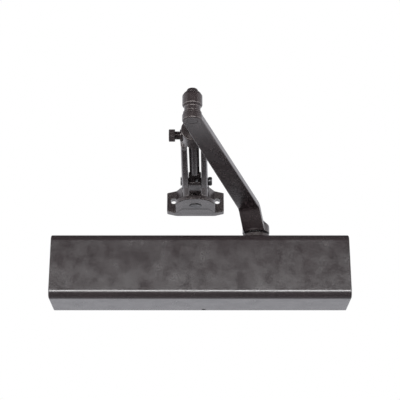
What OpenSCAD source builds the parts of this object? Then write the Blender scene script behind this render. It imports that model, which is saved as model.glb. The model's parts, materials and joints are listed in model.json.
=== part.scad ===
// Surface door closer with a full metal cover, a regular arm and a frame shoe.
// It is drawn as it hangs on a closed door: +Y points into the door, +Z is up and +X runs
// towards the pinion end. The origin is the middle of the four door screws, on the door's face.

/* [Cover] */
// Length of the cover along the door
cover_w = 312; // [308:1:320]
// Height of the cover
cover_h = 69; // [69:1:72]
// Depth of the cover from its open back to its front face
cover_d = 51; // [51:1:54]
// Thickness of the cover's sheet
cover_t = 1.5; // [1:0.1:1.5]
// Outside radius of the long bends along the front face
cover_bend = 7.5; // [5:0.5:9]

/* [Body] */
// Length of the hydraulic casting between its end faces
casting_len = 276; // [270:1:278]
// Bore of the cylinder, as a radius
bore_r = 17.6; // [17.2:0.1:18]
// Distance between the two columns of door screws
door_pitch_x = 290; // [288:1:292]
// Distance between the two rows of door screws
door_pitch_z = 19; // [18:0.5:20]
// Radius of each door screw hole
door_hole_r = 3.4; // [3:0.1:3.6]

/* [Gear] */
// Distance of the pinion's axis from the middle of the door screws
pinion_x = 59.8; // [58:0.1:61]
// Module of the rack and the pinion
gear_module = 2; // [2:1:2]
// Number of teeth on the pinion
pinion_teeth = 10; // [10:1:10]
// Play between the teeth along the pitch line
backlash = 0.3; // [0.2:0.05:0.5]

/* [Arms] */
// Sideways place of the elbow
elbow_x = -6.7; // [-8:0.1:-5]
// How far the elbow stands out from the door
elbow_out = 273; // [268:1:278]
// Height of the main arm's lower face at its hub
arm_z = 42.5; // [42:0.5:44]
// Rise of the main arm from its hub to its long level stretch
arm_rise = 17; // [15:0.5:17]
// Thickness of the main arm's bar
arm_t = 6.5; // [6:0.5:6.5]
// Radius of the forearm rod
rod_r = 5; // [4.5:0.05:5]

/* [Shoe] */
// Sideways place of the shoe
shoe_x = -4.9; // [-6:0.1:-4]
// Gap between the door's face and the plane that the shoe is screwed to
shoe_out = 16; // [15:0.5:18]
// Length of the shoe's flange
shoe_w = 61.4; // [60:0.2:64]
// Distance between the shoe's two screw holes
shoe_pitch = 47; // [46:0.5:48]
// Radius of the shoe's screw holes
shoe_hole_r = 3.2; // [2.8:0.1:3.4]

/* [Hidden] */
$fn = 64;

// Running clearance of a shaft in its hole, and the free gap between pieces that pass
fit = 0.05;
gap = 0.3;
// A cutter's overshoot past a face
over = 1;

// Cover
cover_back = -1;
cover_front = cover_back - cover_d;
cover_top = cover_h / 2;
cover_hole_r = 14.6;
cover_screw_y = -11;
cover_screw_hole_r = 2.2;
locating_hole = [4, -4.5];
locating_hole_r = 1.9;

// Casting
axis_y = -27;
casting_x0 = -140;
casting_x1 = casting_x0 + casting_len;
casting_r = 21.5;
web_t = 6;
web_h = 31;
ear_x = 152;
tower_r = 17;
tower_z0 = -31;
tower_z1 = 32.5;
tower_bore_r = 13;
lug_x = 150;
lug_t = 3.4;
lug_bore_r = 1.8;
// Each needle valve's y and z, and the outside radius of the rib that it sits in
sweep_at = [-27, 25];
latch_at = [-27, -25];
backcheck_at = [-12.5, 19.5];
rib_r = 6;
valve_r = 3;
valve_depth = 24;
valve_head = 2;

// End caps, adjuster and spring
cap_plug = 10;
cap_flange = 4;
cap_flange_r = 20;
seal_w = 2.4;
seal_depth = 2;
adjuster_r = 5;
adjuster_hex = 10;
adjuster_out = 5;
seat_x = casting_x0 + cap_plug + 2;
seat_t = 4;
seat_r = 15.5;
spring_wire_r = 2.5;
spring_r = 13;
spring_turns = 12;
spring_sides = 8;
spring_steps = 16;

// Pinion and rack
pitch_r = gear_module * pinion_teeth / 2;
pressure = 25;
base_r = pitch_r * cos(pressure);
tip_r = pitch_r + gear_module;
root_r = pitch_r - 1.2 * gear_module;
rack_addendum = 0.8 * gear_module;
rack_dedendum = 1.2 * gear_module;
tooth_h = 19;
journal_r = 7.3;
shaft_z0 = -29;
square = 12;
square_z0 = 41.2;
shaft_z1 = 53.5;
bearing_h = 9.5;
bearing_z = 19.5;
opening_angle = 160;
piston_stroke = pitch_r * opening_angle * PI / 180;
window_x0 = pinion_x - tip_r - 1.5;
window_x1 = pinion_x + tip_r + piston_stroke + 1.5;
head_len = 15.5;
piston_x0 = window_x0 - head_len;
piston_x1 = window_x1 + head_len;
rack_pitch = PI * gear_module;

// Dust collar and the main arm
collar_r = 14.4;
collar_skirt_r = 15.3;
collar_z0 = cover_top + gap;
collar_z1 = 40.5;
hub_r = 14.4;
hub_h = 12;
hub_chamfer = 3.5;
ramp_angle = 39.5;
ramp_u0 = 12.5;
ramp_u1 = ramp_u0 + arm_rise / tan(ramp_angle);
bend_low_r = 12;
bend_high_r = 11;
arm_end_r = 8.9;
arm_root_half = 11.6;
arm_reach = norm([elbow_x - pinion_x, elbow_out + axis_y]);
arm_turn = atan((pinion_x - elbow_x) / (elbow_out + axis_y));
arm_top = arm_z + arm_rise + arm_t;
arm_screw_r = 3.4;

// Elbow
elbow_y = -elbow_out;
forearm_z = 79;
elbow_washer_t = 2.2;
neck_z = arm_top + elbow_washer_t + gap;
eye_z0 = 73;
eye_z1 = 85;
eye_r = 8.85;
neck_r = 7.15;
eye_chamfer = 1.6;
stud_r = 4.5;
bush_r = 5.6;
nut_z0 = eye_z1 + gap;
nut_h = 5.65;
nut_r = 4.9;
nut_foot_r = 8.2;
nut_cone_h = 3.5;

// The forearm's own frame: its Y axis runs from the elbow to the swivel pin, and the elbow
// is at y = elbow_y in it
shoe_y = -shoe_out;
swivel_y = shoe_y - 31.5;
forearm_turn = atan((shoe_x - elbow_x) / (swivel_y - elbow_y));
swivel_v = elbow_y + norm([shoe_x - elbow_x, swivel_y - elbow_y]);

// Forearm rod and yoke
rod_end_y = -112.5;
yoke_y0 = -215;
yoke_head_r = 11.4;
yoke_head_len = 30;
slot_y0 = -196.5;
slot_w = 13.4;
rail_half_0 = 12.2;
rail_half_1 = 13.5;
rail_r = 7.3;
pivot_y = -87;
pivot_r = 3.6;
clamp_y = -201;
clamp_r = 4;
clamp_boss_r = 5.6;
clamp_hex = 11;
clamp_head_x = -17.2;
clamp_head_t = 5.8;

// Knuckle and shoe
shoe_z0 = arm_top + 1;
shoe_z1 = 92.6;
plate_t = 4.5;
flange_t = 9.5;
flange_chamfer_x = 10;
flange_chamfer_z = 2.3;
lower_plate_r = 21;
upper_lug_r = 14.5;
upper_z = shoe_z1 - plate_t;
wall_y = swivel_y + 9;
wall_t = 3;
shoe_hole_z = 81;
tongue_half = 6.3;
nose_y = -96.8;
nose_r = 3;
swivel_r = 6.3;
swivel_washer_t = 1.2;
barrel_r = 13.7;
barrel_z0 = shoe_z0 + plate_t + swivel_washer_t + gap;
barrel_z1 = upper_z - swivel_washer_t - gap;
tongue_clear_z = 75;
set_screw_r = 2.2;
set_screw_at = [2, 76.5];

bronze = [0.16, 0.145, 0.14];
steel = [0.62, 0.62, 0.64];
dark_steel = [0.3, 0.3, 0.31];
alloy = [0.72, 0.72, 0.74];
rubber = [0.08, 0.08, 0.09];
brass = [0.75, 0.6, 0.3];

// Points of an arc from angle a0 to a1
function arc(c, r, a0, a1, n = 10) =
    [for (i = [0:n]) c + r * [cos(a0 + (a1 - a0) * i / n), sin(a0 + (a1 - a0) * i / n)]];

// The angle between a radius through an involute's start and one through its point at radius r
function involute(r) = tan(acos(base_r / r)) * 180 / PI - acos(base_r / r);

// Half the angle that a pinion tooth covers at radius r
tooth_half = (rack_pitch / 2 - backlash / 2) / pitch_r / 2 * 180 / PI + involute(pitch_r);
function tooth_angle(r) = tooth_half - involute(max(r, base_r));

// A cylinder along X, between two x values
module along_x(x0, x1, r, y, z) {
    translate([x0, y, z])
        rotate([0, 90, 0])
        cylinder(r = r, h = x1 - x0);
}

// A cylinder along Y, between two y values
module along_y(y0, y1, r, x, z) {
    translate([x, y0, z])
        rotate([-90, 0, 0])
        cylinder(r = r, h = y1 - y0);
}

// A cylinder along Z, between two z values
module along_z(z0, z1, r, x, y) {
    translate([x, y, z0])
        cylinder(r = r, h = z1 - z0);
}

// A box from its lowest to its highest corner
module box(low, high) {
    translate(low)
        cube(high - low);
}

// A ring along X with a square section
module ring_x(x0, x1, r_in, r_out, y, z) {
    difference() {
        along_x(x0, x1, r_out, y, z);
        along_x(x0 - over, x1 + over, r_in, y, z);
    }
}

// A ring along Z with a square section
module ring_z(z0, z1, r_in, r_out, x, y) {
    difference() {
        along_z(z0, z1, r_out, x, y);
        along_z(z0 - over, z1 + over, r_in, x, y);
    }
}

// A hexagonal prism along X, measured across its flats
module hex_x(x0, x1, flats, y, z) {
    translate([x0, y, z])
        rotate([0, 90, 0])
        cylinder(d = flats / cos(30), h = x1 - x0, $fn = 6);
}

// The four door screw places
module at_door_screws() {
    for (x = [-1, 1], z = [-1, 1])
        translate([x * door_pitch_x / 2, 0, z * door_pitch_z / 2])
            children();
}

// Local x runs from the pinion's axis along the main arm
module along_arm() {
    translate([pinion_x, axis_y, 0])
        rotate([0, 0, -90 - arm_turn])
        children();
}

// Local y runs along the forearm, with its axis on x = 0
module along_forearm() {
    translate([elbow_x, elbow_y, 0])
        rotate([0, 0, -forearm_turn])
        translate([0, -elbow_y, 0])
        children();
}

// A block whose two long front edges are bent to radius r, drawn from x0 to x1
module bent_block(x0, x1, y0, y1, z1, r) {
    translate([x0, 0, 0])
        rotate([90, 0, 90])
        linear_extrude(x1 - x0)
        union() {
            translate([y0 + r, -z1])
                square([y1 - y0 - r, 2 * z1]);
            translate([y0, -z1 + r])
                square([r + over, 2 * (z1 - r)]);
            for (s = [-1, 1])
                translate([y0 + r, s * (z1 - r)])
                    circle(r = r);
        }
}

module cover() {
    color(bronze)
    difference() {
        bent_block(-cover_w / 2, cover_w / 2, cover_front, cover_back, cover_top, cover_bend);
        bent_block(-cover_w / 2 + cover_t, cover_w / 2 - cover_t, cover_front + cover_t,
                   cover_back + over, cover_top - cover_t, cover_bend - cover_t);
        along_z(0, cover_top + over, cover_hole_r, pinion_x, axis_y);
        along_z(-cover_top - over, 0, locating_hole_r, locating_hole.x, locating_hole.y);
        along_x(-cover_w, cover_w, cover_screw_hole_r, cover_screw_y, 0);
    }
}

module cover_screws() {
    head_r = 3.8;
    head_t = 2.2;
    length = 8;
    color(dark_steel)
    for (side = [-1, 1])
        scale_side(side)
        difference() {
            union() {
                along_x(cover_w / 2 - length, cover_w / 2 + over / 2, lug_bore_r - fit, cover_screw_y, 0);
                along_x(cover_w / 2, cover_w / 2 + head_t, head_r, cover_screw_y, 0);
            }
            hex_x(cover_w / 2 + 0.7, cover_w / 2 + head_t + over, 2.5, cover_screw_y, 0);
        }
}

// Draws its children, or their mirror image in the plane x = 0
module scale_side(side) {
    if (side > 0)
        children();
    else
        mirror([1, 0, 0])
            children();
}

module body_casting() {
    color(alloy)
    difference() {
        union() {
            along_x(casting_x0, casting_x1, casting_r, axis_y, 0);
            box([-ear_x, -web_t, -web_h / 2], [ear_x, 0, web_h / 2]);
            box([casting_x0 + 12, axis_y, -12], [casting_x1 - 12, -web_t / 2, 12]);
            along_z(tower_z0, tower_z1, tower_r, pinion_x, axis_y);
            along_x(pinion_x, casting_x1, rib_r, sweep_at.x, sweep_at.y);
            along_x(pinion_x, casting_x1, rib_r, latch_at.x, latch_at.y);
            along_x(pinion_x, casting_x1, rib_r, backcheck_at.x, backcheck_at.y);
            for (side = [-1, 1])
                scale_side(side)
                box([lug_x, cover_screw_y - 5, -6], [lug_x + lug_t, 0, 6]);
        }
        along_x(casting_x0 - over, casting_x1 + over, bore_r, axis_y, 0);
        along_z(tower_z0 - over, tower_z1 + over, tower_bore_r, pinion_x, axis_y);
        for (at = [sweep_at, latch_at, backcheck_at])
            along_x(casting_x1 - valve_depth, casting_x1 + over, valve_r, at.x, at.y);
        along_x(-cover_w, cover_w, lug_bore_r, cover_screw_y, 0);
        at_door_screws()
            along_y(-web_t - over, over, door_hole_r, 0, 0);
    }
}

module left_end_cap() {
    color(dark_steel)
    difference() {
        union() {
            along_x(casting_x0, casting_x0 + cap_plug, bore_r - fit, axis_y, 0);
            along_x(casting_x0 - cap_flange, casting_x0, cap_flange_r, axis_y, 0);
        }
        ring_x(casting_x0 + 3, casting_x0 + 3 + seal_w, bore_r - seal_depth, bore_r + over, axis_y, 0);
        along_x(casting_x0 - cap_flange - over, casting_x0 + cap_plug + over, adjuster_r + fit, axis_y, 0);
    }
}

module right_end_cap() {
    color(dark_steel)
    difference() {
        union() {
            along_x(casting_x1 - cap_plug, casting_x1, bore_r - fit, axis_y, 0);
            along_x(casting_x1, casting_x1 + cap_flange, cap_flange_r - 2.5, axis_y, 0);
        }
        ring_x(casting_x1 - 3 - seal_w, casting_x1 - 3, bore_r - seal_depth, bore_r + over, axis_y, 0);
        hex_x(casting_x1 - 2, casting_x1 + cap_flange + over, 12, axis_y, 0);
    }
}

module end_cap_seals() {
    color(rubber) {
        ring_x(casting_x0 + 3.1, casting_x0 + 2.9 + seal_w,
               bore_r - seal_depth + fit, bore_r - fit / 2, axis_y, 0);
        ring_x(casting_x1 - 2.9 - seal_w, casting_x1 - 3.1,
               bore_r - seal_depth + fit, bore_r - fit / 2, axis_y, 0);
    }
}

module power_adjuster() {
    color(steel)
    difference() {
        union() {
            along_x(casting_x0 - cap_flange - 0.5, seat_x - 2 * gap, adjuster_r, axis_y, 0);
            hex_x(casting_x0 - cap_flange - adjuster_out, casting_x0 - cap_flange - gap,
                  adjuster_hex + 3, axis_y, 0);
        }
        hex_x(casting_x0 - cap_flange - adjuster_out - over, casting_x0 - cap_flange, 5, axis_y, 0);
    }
}

module spring_seat() {
    spigot_r = spring_r - spring_wire_r - 1.5;
    color(steel) {
        along_x(seat_x + 2 * gap, seat_x + seat_t, seat_r, axis_y, 0);
        along_x(seat_x + seat_t - over, seat_x + seat_t + 8, spigot_r, axis_y, 0);
    }
}

// One section of the spring's wire: a small polygon at angle a, x along the coil
function wire_ring(a, x) =
    [for (k = [0:spring_sides - 1])
        let (q = 360 * k / spring_sides, rr = spring_r + spring_wire_r * cos(q))
        [x + spring_wire_r * sin(q), axis_y + rr * cos(a), rr * sin(a)]];

module main_spring() {
    x0 = seat_x + seat_t + 1 + spring_wire_r;
    x1 = piston_x0 - 1 - spring_wire_r;
    rings = spring_turns * spring_steps;
    points = [for (i = [0:rings]) each wire_ring(360 * i / spring_steps, x0 + (x1 - x0) * i / rings)];
    last = rings * spring_sides;
    sides = [for (i = [0:rings - 1], k = [0:spring_sides - 1])
        let (a = i * spring_sides + k, b = i * spring_sides + (k + 1) % spring_sides)
        [a, b, b + spring_sides, a + spring_sides]];
    first_cap = [for (k = [spring_sides - 1:-1:0]) k];
    last_cap = [for (k = [0:spring_sides - 1]) last + k];
    color(steel)
        polyhedron(points = points, faces = concat(sides, [first_cap, last_cap]));
}

module upper_bearing() {
    color(steel)
        ring_z(bearing_z, bearing_z + bearing_h, journal_r + fit, tower_bore_r - fit, pinion_x, axis_y);
}

module lower_bearing() {
    color(steel)
        ring_z(-bearing_z - bearing_h + 2.5, -bearing_z + 1.5,
               journal_r + fit, tower_bore_r - fit, pinion_x, axis_y);
}

module pinion_seal() {
    color(rubber)
        ring_z(bearing_z + bearing_h + 0.2, tower_z1, journal_r + fit, tower_bore_r - fit, pinion_x, axis_y);
}

module lower_pinion_cap() {
    color(dark_steel)
    difference() {
        union() {
            along_z(shaft_z0 - 1.5, shaft_z0 + 1.8, tower_bore_r - fit, pinion_x, axis_y);
            along_z(tower_z0 - 1.2, tower_z0, tower_r - 1, pinion_x, axis_y);
            along_z(tower_z0 - over / 2, shaft_z0, tower_bore_r - fit, pinion_x, axis_y);
        }
        along_z(shaft_z0 - gap, shaft_z0 + 3, journal_r + fit, pinion_x, axis_y);
        translate([pinion_x, axis_y, tower_z0 - 2])
            cylinder(d = 8 / cos(30), h = 2, $fn = 6);
    }
}

// A needle valve screwed into the casting's right end
module needle_valve(at) {
    x1 = casting_x1 - 1;
    x0 = casting_x1 - valve_depth + 3;
    color(brass)
    difference() {
        union() {
            along_x(x0 + 6, x1, valve_r - fit, at.x, at.y);
            along_x(x0, x0 + 7, valve_r / 2, at.x, at.y);
        }
        box([x1 - valve_head, at.x - over / 2, at.y - valve_r - over],
            [x1 + over, at.x + over / 2, at.y + valve_r + over]);
    }
}

module sweep_valve() {
    needle_valve(sweep_at);
}

module latch_valve() {
    needle_valve(latch_at);
}

module backcheck_valve() {
    needle_valve(backcheck_at);
}

// One rack tooth, pointing to +Y, with its pitch line on y = 0
module rack_tooth() {
    half = rack_pitch / 4 - backlash / 4;
    tip = half - rack_addendum * tan(pressure);
    foot = half + rack_dedendum * tan(pressure);
    polygon([[-foot, -rack_dedendum - over / 2], [-foot, -rack_dedendum],
             [-tip, rack_addendum], [tip, rack_addendum],
             [foot, -rack_dedendum], [foot, -rack_dedendum - over / 2]]);
}

module piston() {
    rack_y = axis_y - pitch_r;
    slot_x = 4;
    color(steel)
    difference() {
        union() {
            difference() {
                along_x(piston_x0, piston_x1, bore_r - fit, axis_y, 0);
                box([window_x0, rack_y - rack_dedendum, -bore_r - over],
                    [window_x1, axis_y + tip_r + 1, bore_r + over]);
            }
            intersection() {
                along_x(window_x0, window_x1, bore_r - fit, axis_y, 0);
                translate([pinion_x, rack_y, -tooth_h / 2])
                    linear_extrude(tooth_h)
                    for (i = [-2:6])
                        translate([(i + 0.5) * rack_pitch, 0])
                            rack_tooth();
            }
        }
        for (x = [piston_x0 + slot_x, piston_x1 - slot_x - seal_w])
            ring_x(x, x + seal_w, bore_r - seal_depth, bore_r + over, axis_y, 0);
        along_x(window_x1 - over, piston_x1 - 6, 1.5, axis_y, 0);
        along_x(piston_x1 - 6, piston_x1 + over, 3, axis_y, 0);
    }
}

module piston_seals() {
    slot_x = 4;
    color(rubber)
    for (x = [piston_x0 + slot_x, piston_x1 - slot_x - seal_w])
        ring_x(x + 0.1, x + seal_w - 0.1, bore_r - seal_depth + fit, bore_r - fit / 2, axis_y, 0);
}

module check_ball() {
    color(steel)
        translate([piston_x1 - 3.2, axis_y, 0])
        sphere(r = 2.7);
}

// The pinion's outline: involute flanks down to the base circle, then straight to the root
module pinion_outline() {
    steps = 6;
    polygon([for (t = [0:pinion_teeth - 1])
        let (mid = -90 + t * 360 / pinion_teeth)
        each concat(
            [for (i = [-1:steps])
                let (r = i < 0 ? root_r : base_r + (tip_r - base_r) * i / steps)
                r * [cos(mid - tooth_angle(r)), sin(mid - tooth_angle(r))]],
            [for (i = [steps:-1:-1])
                let (r = i < 0 ? root_r : base_r + (tip_r - base_r) * i / steps)
                r * [cos(mid + tooth_angle(r)), sin(mid + tooth_angle(r))]])]);
}

module pinion_shaft() {
    color(steel)
    difference() {
        union() {
            along_z(shaft_z0, square_z0, journal_r, pinion_x, axis_y);
            translate([pinion_x, axis_y, -tooth_h / 2 + 0.5])
                linear_extrude(tooth_h - 1)
                pinion_outline();
            along_arm()
                box([-square / 2, -square / 2, square_z0 - gap], [square / 2, square / 2, shaft_z1]);
        }
        along_z(shaft_z1 - 14, shaft_z1 + over, arm_screw_r + fit, pinion_x, axis_y);
    }
}

module dust_collar() {
    color(bronze)
    translate([pinion_x, axis_y, 0])
        rotate_extrude()
        polygon([[journal_r + fit, collar_z0], [collar_skirt_r, collar_z0],
                 [collar_skirt_r, collar_z0 + 0.5], [collar_r, collar_z0 + 1.8],
                 [collar_r, collar_z1 - 0.6], [collar_r - 0.6, collar_z1],
                 [journal_r + fit, collar_z1]]);
}

// The arm seen from above: hub, tapering bar and round end
module arm_plan() {
    circle(r = hub_r);
    polygon([[0, -arm_root_half], [arm_reach, -arm_end_r], [arm_reach, arm_end_r], [0, arm_root_half]]);
    translate([arm_reach, 0])
        circle(r = arm_end_r);
}

// The arm seen from its side: level at the hub, a ramp with two bends, then level to the elbow
module arm_side() {
    low_t = bend_low_r * tan(ramp_angle / 2);
    high_t = bend_high_r * tan(ramp_angle / 2);
    low_c = [ramp_u0 - low_t, arm_z + bend_low_r];
    high_c = [ramp_u1 + high_t, arm_z + arm_rise - bend_high_r];
    end_u = arm_reach + arm_end_r + over;
    polygon(concat(
        [[-hub_r - over, arm_z]],
        arc(low_c, bend_low_r, -90, ramp_angle - 90),
        arc(high_c, bend_high_r, ramp_angle + 90, 90),
        [[end_u, arm_z + arm_rise], [end_u, arm_top]],
        arc(high_c, bend_high_r + arm_t, 90, ramp_angle + 90),
        arc(low_c, bend_low_r - arm_t, ramp_angle - 90, -90),
        [[-hub_r - over, arm_z + arm_t]]));
}

module main_arm() {
    hub_top = arm_z + hub_h;
    color(bronze)
    along_arm()
    difference() {
        union() {
            intersection() {
                linear_extrude(arm_top + over)
                    arm_plan();
                translate([0, 2 * hub_r, 0])
                    rotate([90, 0, 0])
                    linear_extrude(4 * hub_r)
                    arm_side();
            }
            rotate_extrude()
                polygon([[0, arm_z], [hub_r, arm_z], [hub_r, hub_top - hub_chamfer],
                         [hub_r - hub_chamfer, hub_top], [0, hub_top]]);
        }
        box([-square / 2 - fit, -square / 2 - fit, arm_z - over],
            [square / 2 + fit, square / 2 + fit, hub_top + over]);
        along_z(arm_z + arm_rise - over, arm_top + over, stud_r + fit / 2, arm_reach, 0);
    }
}

module arm_washer() {
    color(dark_steel)
        ring_z(arm_z + hub_h, arm_z + hub_h + 1.6, arm_screw_r + fit, 9.8, pinion_x, axis_y);
}

module arm_screw() {
    seat = arm_z + hub_h + 1.6;
    head_t = 5.4;
    color(dark_steel)
    difference() {
        union() {
            along_z(shaft_z1 - 12, seat + over, arm_screw_r, pinion_x, axis_y);
            translate([pinion_x, axis_y, seat])
                cylinder(d = 11 / cos(30), h = head_t, $fn = 6);
        }
        translate([pinion_x, axis_y, seat + head_t])
            cylinder(d = 6, h = 1, center = true);
    }
}

module elbow_stud() {
    color(dark_steel)
        along_z(arm_z + arm_rise + 0.1, nut_z0 + nut_h - 1.5, stud_r, elbow_x, elbow_y);
}

module elbow_washer() {
    color(bronze)
        ring_z(arm_top, arm_top + elbow_washer_t, stud_r + fit, 8.2, elbow_x, elbow_y);
}

module elbow_nut() {
    dome_h = 2;
    top = nut_z0 + nut_h;
    color(bronze)
    translate([elbow_x, elbow_y, 0])
        rotate_extrude()
        polygon(concat([[stud_r, nut_z0], [nut_foot_r, nut_z0], [nut_r, nut_z0 + nut_cone_h]],
                       [for (i = [0:6]) [nut_r * cos(15 * i), top - dome_h + dome_h * sin(15 * i)]],
                       [[0, top - 1.4], [stud_r, top - 1.4]]));
}

module forearm_rod() {
    color(bronze)
    along_forearm()
    difference() {
        union() {
            translate([0, elbow_y, 0])
                rotate_extrude()
                polygon([[0, neck_z], [neck_r, neck_z], [neck_r, eye_z0 - 1],
                         [eye_r - eye_chamfer, eye_z0], [eye_r, eye_z0 + eye_chamfer],
                         [eye_r, eye_z1 - 1.5], [eye_r - 1.5, eye_z1], [0, eye_z1]]);
            along_y(elbow_y, rod_end_y - 1.2, rod_r, 0, forearm_z);
            along_y(rod_end_y - 1.5, rod_end_y, rod_r - 1.2, 0, forearm_z);
        }
        along_z(neck_z - over, eye_z1 + over, bush_r + fit, 0, elbow_y);
    }
}

module elbow_bush() {
    color(brass)
        ring_z(neck_z + 0.1, eye_z1 - 0.1, stud_r + fit, bush_r, elbow_x, elbow_y);
}

// The yoke seen from above: two rails that open towards the pivot
module yoke_plan() {
    start = yoke_y0 + yoke_head_len - 6;
    finish = pivot_y + rail_r;
    polygon([[-rail_half_0, start], [rail_half_0, start], [rail_half_1, finish], [-rail_half_1, finish]]);
}

module yoke() {
    color(bronze)
    along_forearm()
    difference() {
        union() {
            along_y(yoke_y0, yoke_y0 + yoke_head_len, yoke_head_r, 0, forearm_z);
            intersection() {
                translate([0, 0, forearm_z - rail_r])
                    linear_extrude(2 * rail_r)
                    yoke_plan();
                union() {
                    box([-20, yoke_y0, forearm_z - rail_r - over], [20, pivot_y, forearm_z + rail_r + over]);
                    along_x(-20, 20, rail_r, pivot_y, forearm_z);
                }
            }
        }
        // The slot runs into the head, through its whole height
        box([-slot_w / 2, slot_y0, forearm_z - yoke_head_r - over],
            [slot_w / 2, pivot_y + rail_r + over, forearm_z + yoke_head_r + over]);
        along_y(yoke_y0 - over, slot_y0 + over, rod_r + fit, 0, forearm_z);
        along_x(-20, 20, pivot_r + fit, pivot_y, forearm_z);
        along_x(-20, -rod_r, clamp_r + fit, clamp_y, forearm_z);
    }
}

module clamp_nut() {
    x1 = -yoke_head_r + 0.4;
    color(bronze)
    along_forearm()
    difference() {
        along_x(x1 - 1.6, x1, clamp_boss_r, clamp_y, forearm_z);
        along_x(x1 - 3, x1 + over, clamp_r + fit, clamp_y, forearm_z);
        along_y(yoke_y0, yoke_y0 + yoke_head_len, yoke_head_r, 0, forearm_z);
    }
}

module clamp_screw() {
    head_x = clamp_head_x;
    color(bronze)
    along_forearm()
    difference() {
        union() {
            along_x(head_x - over, -rod_r - 2 * fit, clamp_r, clamp_y, forearm_z);
            hex_x(head_x - clamp_head_t, head_x, clamp_hex, clamp_y, forearm_z);
        }
        box([head_x - clamp_head_t - over, clamp_y - 5.2, forearm_z - 0.6],
            [head_x - clamp_head_t + 1.2, clamp_y + 5.2, forearm_z + 0.6]);
    }
}

// The knuckle's tongue seen from its side, with its two front corners rounded
module tongue_side() {
    hull() {
        for (z = [-1, 1])
            translate([nose_y + nose_r, z * (rail_r - nose_r)])
                circle(r = nose_r);
        translate([swivel_v - barrel_r + 3, -rail_r])
            square([1, 2 * rail_r]);
    }
}

module knuckle() {
    color(bronze)
    along_forearm()
    difference() {
        union() {
            translate([tongue_half, 0, forearm_z])
                rotate([90, 0, -90])
                linear_extrude(2 * tongue_half)
                mirror([1, 0])
                tongue_side();
            along_z(barrel_z0, barrel_z1, barrel_r, 0, swivel_v);
        }
        along_x(-20, 20, pivot_r + fit / 2, pivot_y, forearm_z);
        along_z(barrel_z0 - over, barrel_z1 + over, swivel_r + fit, 0, swivel_v);
        along_y(nose_y - over, pivot_y, set_screw_r + fit, set_screw_at.x, set_screw_at.y);
        // The tongue keeps clear of the shoe's lower plate on both sides of the barrel
        difference() {
            along_z(forearm_z - rail_r - over, tongue_clear_z, lower_plate_r + 2, 0, swivel_v);
            along_z(barrel_z0, tongue_clear_z + over, barrel_r, 0, swivel_v);
        }
    }
}

module pivot_pin() {
    left = -rail_half_1 - 1.4;
    right = rail_half_1 + gap + 0.1;
    color(dark_steel)
    along_forearm() {
        along_x(left, right + over, pivot_r, pivot_y, forearm_z);
        along_x(right, right + 3.2, 4.5, pivot_y, forearm_z);
        along_x(right + 3, right + 3.8, 3.6, pivot_y, forearm_z);
    }
}

module pivot_ring() {
    x = -rail_half_1 - gap - 0.1;
    color(dark_steel)
    along_forearm()
        ring_x(x - 0.8, x, pivot_r + fit / 2, pivot_r + 0.9, pivot_y, forearm_z);
}

module pivot_set_screw() {
    inner = pivot_y - sqrt(pow(pivot_r, 2) - pow(forearm_z - set_screw_at.y - set_screw_r, 2)) - 0.2;
    color(steel)
    along_forearm()
    difference() {
        along_y(nose_y + 0.3, inner, set_screw_r, set_screw_at.x, set_screw_at.y);
        box([set_screw_at.x - 3, nose_y - over, set_screw_at.y - 0.35],
            [set_screw_at.x + 3, nose_y + 1.2, set_screw_at.y + 0.35]);
    }
}

// The shoe's outline at height z seen from above, without the round front of each plate
module shoe_flare() {
    back = shoe_y - flange_t + 1;
    flared = back - over;
    polygon([[-lower_plate_r, back], [-lower_plate_r, flared], [-upper_lug_r, wall_y],
             [upper_lug_r, wall_y], [lower_plate_r, flared], [lower_plate_r, back]]);
}

module shoe() {
    flange_x = shoe_w / 2;
    color(bronze)
    translate([shoe_x, 0, 0])
    difference() {
        union() {
            // Flange, with its four corners cut back
            translate([0, shoe_y, 0])
                rotate([90, 0, 0])
                linear_extrude(flange_t)
                polygon([[-flange_x, shoe_z0 + flange_chamfer_z],
                         [-flange_x + flange_chamfer_x, shoe_z0],
                         [flange_x - flange_chamfer_x, shoe_z0],
                         [flange_x, shoe_z0 + flange_chamfer_z],
                         [flange_x, shoe_z1 - flange_chamfer_z],
                         [flange_x - flange_chamfer_x, shoe_z1],
                         [-flange_x + flange_chamfer_x, shoe_z1],
                         [-flange_x, shoe_z1 - flange_chamfer_z]]);
            // Lower plate
            along_z(shoe_z0, shoe_z0 + plate_t, lower_plate_r, 0, swivel_y);
            box([-lower_plate_r, swivel_y, shoe_z0], [lower_plate_r, shoe_y - 1, shoe_z0 + plate_t]);
            // Upper lug
            along_z(upper_z, upper_z + plate_t, upper_lug_r, 0, swivel_y);
            box([-upper_lug_r, swivel_y, upper_z], [upper_lug_r, wall_y, upper_z + plate_t]);
            // Flaring walls between the two
            translate([0, 0, shoe_z0])
                linear_extrude(upper_z + plate_t - shoe_z0)
                shoe_flare();
        }
        // Room for the knuckle's barrel and the hollow behind it
        box([-upper_lug_r - over, swivel_y - 30, shoe_z0 + plate_t],
            [upper_lug_r + over, wall_y - gap, upper_z]);
        along_z(shoe_z0 + plate_t, upper_z, barrel_r + 1, 0, swivel_y);
        box([-upper_lug_r + wall_t, wall_y - over, shoe_z0 + plate_t],
            [upper_lug_r - wall_t, shoe_y - flange_t, upper_z]);
        along_z(shoe_z0 - over, upper_z + plate_t + over, swivel_r - fit, 0, swivel_y);
        for (side = [-1, 1])
            along_y(shoe_y - flange_t - over, shoe_y + over, shoe_hole_r, side * shoe_pitch / 2, shoe_hole_z);
    }
}

module swivel_pin() {
    color(dark_steel) {
        along_z(shoe_z0 - 0.65, shoe_z0 + plate_t + 0.2, swivel_r - fit, shoe_x, swivel_y);
        along_z(shoe_z0 + plate_t, upper_z, swivel_r, shoe_x, swivel_y);
        along_z(upper_z - 0.2, upper_z + plate_t + 1.2, swivel_r - fit, shoe_x, swivel_y);
    }
}

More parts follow.
